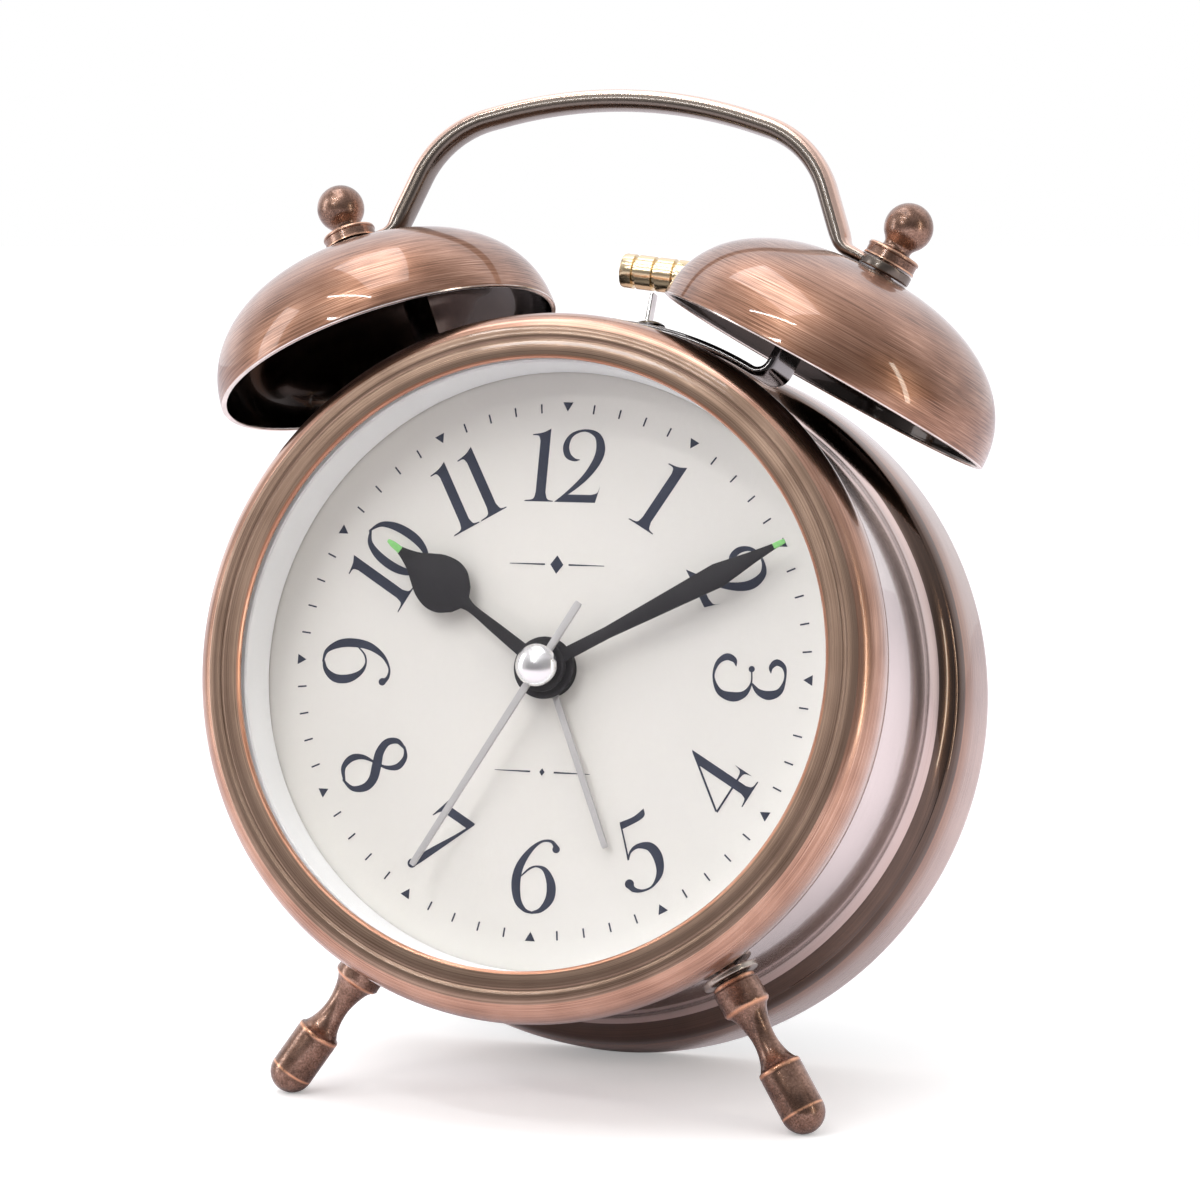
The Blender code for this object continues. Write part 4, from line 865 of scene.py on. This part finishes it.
def mirrored(right):
    """A whole path from its right half, whose first point is on the middle line."""
    return [(-p[0], *p[1:]) for p in right[:0:-1]] + list(right)


def soft_rectangle(count, power):
    """A unit section between a rectangle and an ellipse."""
    made = []
    for i in range(count):
        a = 2 * math.pi * i / count
        c, s = math.cos(a), math.sin(a)
        made.append((math.copysign(abs(c) ** (2 / power), c), math.copysign(abs(s) ** (2 / power), s)))
    return made


def make_bracket():
    tab_h = BELL_H - BELL_WALL - 2 * GAP - BRACKET_T / 2
    low_corner_h = -4.1
    end = math.degrees(math.atan2(*bell_point(BRACKET_ARM_U, low_corner_h))) - 2.6
    along_case = [circle_point(BRACKET_R, end * i / 24) for i in range(25)]
    corners = [along_case[-1], bell_point(BRACKET_ARM_U, low_corner_h), bell_point(BRACKET_ARM_U, tab_h),
               bell_point(5.0, tab_h)]
    right = [Vector(p) for p in along_case[:-1]] + filleted(corners, (2.4, 2.6))
    path = [(p[0], p[1], BRACKET_T / 2, BRACKET_W / 2) for p in mirrored(right)]
    strip = sweep(path, soft_rectangle(40, 9), HARDWARE_Y)
    put("bell_bracket_strip", strip, HARDWARE, black_nickel, ["bell_bracket"], sharp=55)
    for number, x in enumerate((-7.5, 7.5), start=1):
        z = math.sqrt(BRACKET_R ** 2 - x ** 2)
        head = [(0, 2.0), (1.2, 1.95), (2.0, 1.75), (2.5, 1.4), (2.6, 1.1), (1.6, 1.1), (1.6, -7.5), (0, -7.5)]
        screw = turned("bracket_screw_%d_head" % number, head, 40, HARDWARE @ shift(x, HARDWARE_Y, z),
                       black_nickel, ["bracket_screw_%d" % number])
        for spin in (20, 110):
            cut(screw, block((-1.4, -0.25, 1.6), (1.4, 0.25, 3.0)), HARDWARE @ shift(x, HARDWARE_Y, z)
                @ turn(spin, "Z"))


def crossing(a, along_a, b, along_b):
    return a + along_a * ((b - a).cross(along_b) / along_a.cross(along_b))


def make_handle():
    centre = (0, HANDLE_TOP_Z - HANDLE_CROWN_R)
    angle = math.degrees(math.asin(HANDLE_CROWN_X / HANDLE_CROWN_R))
    crown = [Vector(p) for p in arc(centre, HANDLE_CROWN_R, 90, 90 - angle, 16)]
    along_crown = Vector((math.cos(math.radians(angle)), -math.sin(math.radians(angle))))
    lean = math.radians(HANDLE_SIDE_LEAN)
    down = Vector((math.sin(lean), -math.cos(lean)))
    tab_h = BELL_H + GAP + TAB_T / 2
    tab = bell_point(0, tab_h)
    tab_end = bell_point(2.0, tab_h)
    shoulder = crossing(crown[-1], along_crown, Vector(HANDLE_SIDE), down)
    foot = crossing(Vector(HANDLE_SIDE), down, tab, (tab_end - tab).normalized())
    bends = filleted([crown[-1], shoulder, foot, tab_end], (17.0, 3.2), 20)
    straight = bends[21]
    start = bends[22]
    bends[22:22] = [straight.lerp(start, k / 8) for k in range(1, 8)]
    right = crown[:-1] + bends
    travelled = [0.0]
    for a, b in zip(right, right[1:]):
        travelled.append(travelled[-1] + (b - a).length)
    whole = travelled[-1]
    flat_from = 13.0
    flat_to = 6.2
    path = []
    for p, distance in zip(right, travelled):
        left_over = whole - distance
        share = min(1.0, max(0.0, (flat_from - left_over) / (flat_from - flat_to)))
        share = share * share * (3 - 2 * share)
        path.append((p.x, p.y, (HANDLE_T * (1 - share) + TAB_T * share) / 2, HANDLE_W / 2 + 0.2 * share))
    section = [(a if a > 0 else a * 0.9, b) for a, b in soft_rectangle(32, 2.9)]
    # Outer sides, past 0.3 of the half thickness, take material 1, the painted lit top
    bar = sweep(mirrored(path), section, HARDWARE_Y, 0.3)
    put("handle_bar", bar, HARDWARE, [gunmetal, handle_painted_lit_top], ["handle"], sharp=60)
    base = BELL_H + GAP
    for side, name in ((-1, "left"), (1, "right")):
        disc = rounded([(1.9, base), (4.5, base), (4.5, base + TAB_T), (1.9, base + TAB_T)], 0.3, closed=True)
        turned(name + "_handle_eye", disc, STEPS_SMALL, bell_frame(side), gunmetal, ring=True)


# ---- hammer ----
def make_hammer():
    pivot = CLOCK @ shift(0, HAMMER_Y, HAMMER_PIVOT_Z) @ turn(HAMMER_LEAN)
    half = HAMMER_REACH - 3.0
    outline = rounded([(-0.35, 2.0), (-0.35, half), (0.35, half), (0.35, 18.5), (2.0, 18.5), (2.0, 10.0),
                       (0.35, 10.0), (0.35, 2.0)], 0.12, closed=True)
    hub = [circle_point(2.6, a) for a in range(0, 360, 12)]
    arm = slab([outline, hub], -1.2, 1.2, bevel=0.1)
    strip = put("hammer_arm_strip", arm, pivot, bright_steel, ["hammer_arm"], "hammer")
    drill(strip, HAMMER_BORE_R, -3, 3, pivot @ TO_REAR)
    length = 5.95
    radius = 2.9
    side = [(0, length), (radius - 0.5, length), (radius - 0.12, length - 0.12), (radius, length - 0.5)]
    for groove in (3.5, 0.0, -3.5):
        side += [(radius, groove + 0.38), (radius - 0.6, groove + 0.28), (radius - 0.6, groove - 0.28),
                 (radius, groove - 0.38)]
    side += [(radius, -length + 0.5), (radius - 0.12, -length + 0.12), (radius - 0.5, -length), (0, -length)]
    turned("hammer_head_brass", side, STEPS_SMALL, pivot @ shift(0, 0, HAMMER_REACH + GAP) @ turn(90), brass,
           ["hammer_head"], "hammer")


# ---- hands ----
def make_hands():
    hour = spline([(1.15, 3.5), (0.95, 10.0), (0.72, 15.4), (1.1, 17.4)], 5)
    hour += spline([(2.6, 18.3), (4.15, 20.3), (4.6, 22.5), (4.05, 24.9), (2.9, 26.9), (1.8, 28.6),
                    (1.05, 30.4), (0.62, 31.8)], 6)
    minute = [(1.05, 3.0), (0.95, 12.0), (1.95, 32.2), (0.95, 38.3), (0.42, 42.4)]
    for kind, side, hub_r, hub_hole, colour, slot in (
            ("hour", hour, 5.0, 2.55, hand_black, "black_paint"),
            ("minute", minute, 4.0, 1.65, hand_black, "black_paint"),
            ("second", [(0.5, -12.0), (0.6, -11.6), (0.58, 0.0), (0.5, 37.4), (0.38, 37.8)], 2.4, 0.75, hand_grey,
             "grey_paint"),
            ("alarm", [(0.55, 3.0), (0.5, 30.1), (0.36, 30.5)], 4.4, 3.45, hand_grey, "grey_paint")):
        outline = side + [(-x, z) for x, z in side[::-1]]
        y = HAND_Y[kind]
        matrix = CLOCK @ turn(HAND_ANGLES[kind])
        blade = slab([outline], y - 0.25, y + 0.25, bevel=0.06)
        hub_look = hand_black if kind == "alarm" else colour
        put(kind + "_hand_blade", blade, matrix, colour, [kind + "_hand"], kind, sharp=25)
        hub = rounded([(hub_hole, y + 0.35), (hub_hole, y - 0.5), (hub_r - 0.5, y - 0.5), (hub_r, y - 0.3),
                       (hub_r, y + 0.35)], 0.15, closed=True)
        turned(kind + "_hand_hub", hub, STEPS_SMALL, SPINDLE, hub_look, body=kind, ring=True)
    for kind, tip in (("hour", [(0.6, 31.6), (0.5, 33.4), (0.25, 34.4)]),
                      ("minute", [(0.43, 42.2), (0.42, 43.4), (0.3, 44.2)])):
        y = HAND_Y[kind]
        outline = tip + [(-x, z) for x, z in tip[::-1]]
        blade = slab([outline], y - 0.32, y + 0.2, bevel=0.1)
        put(kind + "_hand_lume", blade, CLOCK @ turn(HAND_ANGLES[kind]), lume, body=kind)
    base = HAND_Y["second"] - 0.7
    cap = [(0, base)] + rounded([(3.1, base), (3.4, base - 0.1), (3.4, base - 0.6)], 0.2)
    cap += [(3.4 * c, base - 0.6 - 1.8 * s) for c, s in arc((0, 0), 1.0, 6, 84, 13)] + [(0, base - 2.4)]
    turned("hand_cap_dome", cap, STEPS_SMALL, SPINDLE, chrome, ["hand_cap"], "second")


# ---- dial print ----
# A numeral is drawn 12 mm tall from its lower left corner. A stroke is a list of (x, z, half width)
# on a smooth curve. A shape is a list of runs: two points are a straight side, more are a curve.
ONE = [[(0, 0), (4.9, 0)], [(4.9, 0), (4.9, 0.15)], [(4.9, 0.15), (3.95, 0.42), (3.55, 1.5)],
       [(3.55, 1.5), (3.8, 11.95)], [(3.8, 11.95), (2.5, 11.3), (0.75, 10.98)], [(0.75, 10.98), (0.75, 10.82)],
       [(0.75, 10.82), (1.75, 10.72), (2.1, 9.9)], [(2.1, 9.9), (1.9, 1.5)], [(1.9, 1.5), (1.5, 0.42), (0, 0.15)]]
STROKES = {
    "0": [[(3.6, 11.8, 0.16), (1.75, 10.6, 0.42), (0.75, 7.8, 0.68), (0.72, 4.2, 0.7), (1.75, 1.4, 0.42),
           (3.6, 0.2, 0.16), (3.9, 0.2, 0.16)],
          [(3.5, 0.2, 0.16), (5.45, 1.4, 0.42), (6.48, 4.2, 0.7), (6.45, 7.8, 0.68), (5.45, 10.6, 0.42),
           (3.6, 11.8, 0.16), (3.3, 11.76, 0.16)]],
    "2": [[(3.85, 6.95, 0.05), (2.9, 6.95, 0.28), (1.75, 7.7, 0.52), (1.4, 9.3, 0.5), (2.3, 11.0, 0.3),
           (4.4, 11.75, 0.2), (6.5, 11.0, 0.5), (7.25, 9.0, 0.75), (6.8, 6.9, 0.72), (5.2, 4.4, 0.55),
           (3.0, 2.2, 0.36), (0.6, 0.3, 0.12)]],
    "3": [[(3.0, 9.5, 0.05), (2.0, 9.5, 0.38), (1.25, 10.4, 0.52), (2.0, 11.6, 0.34), (3.8, 11.85, 0.18),
           (5.8, 11.1, 0.5), (6.5, 9.4, 0.72), (6.0, 7.7, 0.48), (4.7, 6.5, 0.15)],
          [(2.5, 6.35, 0.12), (4.7, 6.4, 0.15), (6.4, 5.4, 0.5), (6.95, 3.5, 0.76), (6.2, 1.3, 0.48),
           (3.9, 0.2, 0.18), (1.7, 0.7, 0.35), (0.65, 2.1, 0.55), (1.1, 3.4, 0.42), (2.1, 3.8, 0.05)]],
    "4": [[(0.15, 3.2, 0.16), (6.0, 11.7, 0.16)], [(0.1, 3.05, 0.16), (7.8, 3.05, 0.16)]],
    "5": [[(3.85, 11.5, 0.13), (3.2, 8.6, 0.13), (2.5, 5.7, 0.15)],
          [(2.5, 5.75, 0.08), (3.4, 6.75, 0.2), (4.9, 7.0, 0.38), (6.6, 6.0, 0.7), (7.05, 4.0, 0.78),
           (6.3, 1.7, 0.55), (4.4, 0.3, 0.2), (2.6, 0.3, 0.2), (1.3, 1.1, 0.42), (0.95, 2.2, 0.6)]],
    "6": [[(7.3, 10.7, 0.4), (6.3, 11.7, 0.25), (4.6, 11.55, 0.2), (2.8, 10.0, 0.42), (1.3, 7.5, 0.66),
           (0.85, 4.8, 0.75), (1.35, 2.1, 0.6), (2.6, 0.6, 0.32), (4.0, 0.18, 0.17)],
          [(3.8, 0.18, 0.17), (5.4, 0.8, 0.42), (6.7, 2.6, 0.72), (6.75, 4.9, 0.72), (5.7, 7.0, 0.42),
           (4.3, 7.6, 0.17), (3.0, 7.2, 0.17), (1.6, 5.9, 0.1)]],
    "7": [[(6.75, 11.6, 0.15), (5.2, 8.3, 0.28), (3.5, 4.9, 0.5), (2.2, 2.2, 0.62), (1.55, 0.9, 0.62)]],
    "8": [[(3.7, 11.82, 0.18), (2.0, 11.2, 0.42), (1.35, 9.5, 0.6), (2.2, 7.7, 0.72), (3.9, 6.3, 0.8),
           (5.6, 4.8, 0.76), (6.2, 3.0, 0.66), (5.4, 1.0, 0.4), (3.6, 0.18, 0.18), (3.4, 0.18, 0.18)],
          [(3.7, 0.18, 0.18), (1.6, 1.0, 0.4), (0.85, 2.9, 0.56), (1.6, 4.8, 0.38), (3.4, 6.3, 0.17),
           (5.0, 7.7, 0.3), (5.75, 9.5, 0.52), (5.0, 11.2, 0.38), (3.6, 11.82, 0.18), (3.3, 11.8, 0.18)]],
    "9": [[(0.75, 0.9, 0.4), (1.6, 0.28, 0.25), (3.0, 0.25, 0.17), (4.9, 1.5, 0.35), (6.4, 4.0, 0.62),
           (6.85, 6.9, 0.72), (6.55, 9.3, 0.65), (5.4, 11.3, 0.35), (3.85, 11.82, 0.17), (3.6, 11.8, 0.17)],
          [(3.95, 11.82, 0.17), (2.2, 11.2, 0.4), (0.95, 9.5, 0.68), (0.95, 7.2, 0.68), (2.0, 5.2, 0.4),
           (3.5, 4.35, 0.17), (5.0, 4.7, 0.15), (6.3, 6.0, 0.1)]],
}
SHAPES = {
    "1": [ONE],
    "2": [[[(0, 0), (6.9, 0)], [(6.9, 0), (7.6, 2.6)], [(7.6, 2.6), (7.15, 1.6), (6.1, 1.25)],
           [(6.1, 1.25), (1.5, 1.25)], [(1.5, 1.25), (0, 0)]]],
    "4": [[[(4.65, 0.9), (6.1, 0.9)], [(6.1, 0.9), (6.1, 12.0)], [(6.1, 12.0), (4.65, 9.8)],
           [(4.65, 9.8), (4.65, 0.9)]],
          [[(3.0, 0), (7.7, 0)], [(7.7, 0), (7.7, 0.15)], [(7.7, 0.15), (6.5, 0.42), (6.1, 1.3)],
           [(6.1, 1.3), (4.65, 1.3)], [(4.65, 1.3), (4.25, 0.42), (3.0, 0.15)], [(3.0, 0.15), (3.0, 0)]],
          [[(7.9, 4.7), (7.9, 1.4)], [(7.9, 1.4), (7.5, 2.6), (6.5, 2.9)], [(6.5, 2.9), (6.5, 3.2)],
           [(6.5, 3.2), (7.5, 3.5), (7.9, 4.7)]]],
    "5": [[[(3.8, 11.75), (6.2, 11.55), (8.3, 11.95)], [(8.3, 11.95), (7.95, 10.9), (6.6, 10.55), (3.6, 10.6)],
           [(3.6, 10.6), (3.8, 11.75)]]],
    "7": [[[(0.95, 12.5), (1.5, 11.95), (2.6, 11.9)], [(2.6, 11.9), (6.9, 11.9)], [(6.9, 11.9), (6.9, 11.5)],
           [(6.9, 11.5), (6.2, 10.5)], [(6.2, 10.5), (2.2, 10.5)], [(2.2, 10.5), (0.9, 10.3), (0.1, 9.1)],
           [(0.1, 9.1), (0, 9.2)], [(0, 9.2), (0.95, 12.5)]]],
}
BALLS = {"3": (2.45, 6.35, 0.5), "5": (1.0, 2.25, 0.75), "6": (7.2, 10.5, 0.62), "7": (1.45, 0.8, 0.75),
         "9": (0.65, 1.24, 0.62)}
WIDTHS = {"0": 7.2, "1": 4.9, "2": 7.6, "3": 7.7, "4": 7.9, "5": 8.0, "6": 7.8, "7": 6.9, "8": 7.0, "9": 7.6}
NUMERAL_R = 33.2
NUMERAL_HALF_HEIGHT = 6.0
PRINT_Y = -0.05


def stroke_outline(points):
    """The edge of a stroke whose width changes along it."""
    line = spline(points, 7)
    left = []
    right = []
    for i, (x, z, half) in enumerate(line):
        ahead = Vector(line[min(i + 1, len(line) - 1)][:2])
        behind = Vector(line[max(i - 1, 0)][:2])
        along = (ahead - behind).normalized()
        left.append((x - along.y * half, z + along.x * half))
        right.append((x + along.y * half, z - along.x * half))
    return left + right[::-1]


def shape_outline(runs):
    made = []
    for run in runs:
        points = spline(run, 7) if len(run) > 2 else run
        made += points[:-1]
    return made


def digit_outlines(digit):
    outlines = []
    for points in STROKES.get(digit, ()):
        edge = stroke_outline(points)
        half = len(edge) // 2
        for i in range(half - 1):
            outlines.append([edge[i], edge[i + 1], edge[-i - 2], edge[-i - 1]])
    outlines += [shape_outline(runs) for runs in SHAPES.get(digit, ())]
    if digit in BALLS:
        x, z, radius = BALLS[digit]
        outlines.append([(x + a, z + b) for a, b in arc((0, 0), radius, 0, 345, 23)])
    return outlines


def numeral_outlines(text):
    """A whole numeral, centred on its own middle."""
    spacing = 0.25
    width = sum(WIDTHS[c] for c in text) + spacing * (len(text) - 1)
    x = -width / 2
    outlines = []
    for character in text:
        outlines += [[(px + x, pz - NUMERAL_HALF_HEIGHT) for px, pz in o] for o in digit_outlines(character)]
        x += WIDTHS[character] + spacing
    return outlines


def placed(outlines, radius, angle, spin):
    """Outlines set on the dial at a clock angle, turned clockwise by spin."""
    cx, cz = circle_point(radius, angle)
    c, s = math.cos(math.radians(spin)), math.sin(math.radians(spin))
    return [[(cx + x * c + z * s, cz - x * s + z * c) for x, z in o] for o in outlines]


def make_dial_print():
    for hour in range(1, 13):
        angle = 30 * hour
        upright = 4 <= hour <= 8
        outlines = placed(numeral_outlines(str(hour)), NUMERAL_R, angle, angle - 180 if upright else angle)
        put("numeral_%02d" % hour, slab(outlines, PRINT_Y, 0.0), CLOCK, ink, sharp=30)
    tick = [[(-0.13, -0.75), (0.13, -0.75), (0.13, 0.75), (-0.13, 0.75)]]
    wedge = [[(-0.85, 0.6), (0.0, -0.88), (0.85, 0.6)]]
    marks = []
    for minute in range(60):
        if minute % 5:
            marks += placed(tick, 42.6, 6 * minute, 6 * minute)
        else:
            marks += placed(wedge, 42.9, 6 * minute, 6 * minute)
    put("minute_marks", slab(marks, PRINT_Y, 0.0), CLOCK, ink, sharp=30)
    line = [[(2.0, 0.14), (8.0, 0.05), (8.0, -0.05), (2.0, -0.14)],
            [(-2.0, -0.14), (-8.0, -0.05), (-8.0, 0.05), (-2.0, 0.14)]]
    lozenge = [[(0, 1.5), (1.1, 0), (0, -1.5), (-1.1, 0)]]
    small = [[(0, 0.6), (0.45, 0), (0, -0.6), (-0.45, 0)]]
    ornament = placed(line + lozenge, 17.0, 0, 0) + placed(line + small, 16.5, 180, 0)
    put("dial_ornament", slab(ornament, PRINT_Y, 0.0), CLOCK, ink, sharp=30)


# ---- CAD nodes that stay ----
def dress_cad_nodes():
    looks = {
        "alarm_wheel": gear_plastic, "hour_wheel": gear_plastic, "cannon_pinion": gear_plastic,
        "motion_wheel": gear_plastic, "step_motor": gear_plastic, "motion_pin": steel, "second_arbor": steel,
        "movement_housing": housing_plastic, "movement_cover": housing_plastic, "circuit_board": circuit,
        "drive_coil": winding, "striker_coil": winding, "coil_core": steel, "striker_core": steel,
        "hammer_pin": steel, "battery": battery_wrap, "battery_contact": steel, "battery_spring": steel,
        "left_bell_nut": steel, "right_bell_nut": steel, "left_leg_nut": steel, "right_leg_nut": steel,
        "bracket_pad": housing_plastic,
    }
    for name, look in looks.items():
        mesh = frame["nodes"][name].data
        mesh.materials.clear()
        mesh.materials.append(look)


# ---- stage ----
def make_stage():
    look = Look("floor_white", roughness=0.9, specular_ior_level=0.1, emission_color=(1.0, 1.0, 1.0))
    cloud = look.noise(look.place, 2.0, 2.0)
    white = look.ramp(cloud, [(0.3, (0.87, 0.87, 0.88)), (0.7, (0.90, 0.90, 0.90))])
    rays = look.node("ShaderNodeLightPath").outputs
    look.use("Base Color", look.mix(rays["Is Glossy Ray"], white, (0.80, 0.74, 0.78)))
    look.use("Emission Strength", look.math("MULTIPLY", rays["Is Camera Ray"], 0.28))
    shape = bmesh.new()
    bmesh.ops.create_circle(shape, cap_ends=True, segments=64, radius=12.0)
    mesh = bpy.data.meshes.new("floor")
    shape.to_mesh(mesh)
    shape.free()
    mesh.materials.append(look.material)
    floor = bpy.data.objects.new("floor", mesh)
    bpy.context.scene.collection.objects.link(floor)


def softbox(name, place, aim, size, power, colour=(1.0, 1.0, 1.0)):
    light = bpy.data.lights.new(name, "AREA")
    light.shape = "RECTANGLE"
    light.size, light.size_y = size
    light.energy = power
    light.color = colour
    lamp = bpy.data.objects.new(name, light)
    bpy.context.scene.collection.objects.link(lamp)
    lamp.location = place
    lamp.rotation_euler = (Vector(aim) - Vector(place)).to_track_quat("-Z", "Y").to_euler()
    lamp.visible_camera = False
    return lamp


def make_world():
    """Even light, which reflections see dimmer from the front, so that the metal keeps its dark parts."""
    world = bpy.data.worlds.new("studio")
    bpy.context.scene.world = world
    world.use_nodes = True
    world.node_tree.nodes.clear()
    graph = Graph(world.node_tree)
    direction = graph.node("ShaderNodeTexCoord").outputs["Generated"]
    parts = graph.node("ShaderNodeSeparateXYZ", {0: direction})
    strength = 0.0
    for axis, start, end, low, high in (("Y", -0.05, 0.45, 0.20, 0.95), ("Z", 0.35, 0.70, 0.0, 0.35),
                                        ("X", -0.45, -0.85, 0.0, 0.38)):
        rise = graph.node("ShaderNodeMapRange", {0: parts.outputs[axis], 1: start, 2: end, 3: low, 4: high},
                          interpolation_type="SMOOTHSTEP")
        strength = graph.math("ADD", rise.outputs[0], strength)
    plain = graph.node("ShaderNodeBackground", {"Color": (1, 1, 1, 1), "Strength": 1.0})
    room = graph.node("ShaderNodeBackground", {"Color": (1.0, 0.96, 0.99, 1), "Strength": strength})
    glossy = graph.node("ShaderNodeLightPath").outputs["Is Glossy Ray"]
    choice = graph.node("ShaderNodeMixShader", {0: glossy, 1: plain.outputs[0], 2: room.outputs[0]})
    graph.node("ShaderNodeOutputWorld", {"Surface": choice.outputs[0]})


def make_lights():
    middle = CLOCK.translation
    softbox("top_box", middle + Vector((-0.15, -0.10, 1.0)), middle, (1.0, 0.45), 4.2, (1.0, 0.98, 1.0))
    softbox("left_box", middle + Vector((-1.1, -0.45, 0.35)), middle, (0.35, 0.9), 3.0, (0.98, 0.98, 1.0))
    softbox("right_strip", middle + Vector((1.0, -0.32, 0.12)), middle, (0.07, 0.8), 1.6, (1.0, 0.92, 0.78))
    softbox("high_line", middle + Vector((-0.30, -0.75, 1.0)), middle, (0.7, 0.03), 2.2)
    softbox("middle_line", middle + Vector((-0.35, -1.0, 0.62)), middle, (0.28, 0.04), 1.2)


def make_camera():
    data = bpy.data.cameras.new("camera")
    data.sensor_width = 36.0
    data.lens = 105.96
    camera = bpy.data.objects.new("camera", data)
    bpy.context.scene.collection.objects.link(camera)
    azimuth, elevation = math.radians(17.69), math.radians(6.38)
    look = Vector((-math.sin(azimuth) * math.cos(elevation), math.cos(azimuth) * math.cos(elevation),
                   -math.sin(elevation)))
    camera.location = CLOCK.translation + Vector((0.17856, -0.53353, 0.07419))
    camera.rotation_euler = look.to_track_quat("-Z", "Y").to_euler()
    bpy.context.scene.camera = camera
    bpy.context.scene.view_settings.view_transform = "Standard"


make_camera()
make_world()
make_lights()
make_stage()
make_bezel()
make_lens_and_dial()
make_case()
make_rear_ring()
make_back_cover()
make_rear_controls()
make_legs()
for bell_name, bell_side in (("left", -1), ("right", 1)):
    make_bell(bell_name, bell_side)
make_bracket()
make_handle()
make_hammer()
make_hands()
make_dial_print()
dress_cad_nodes()
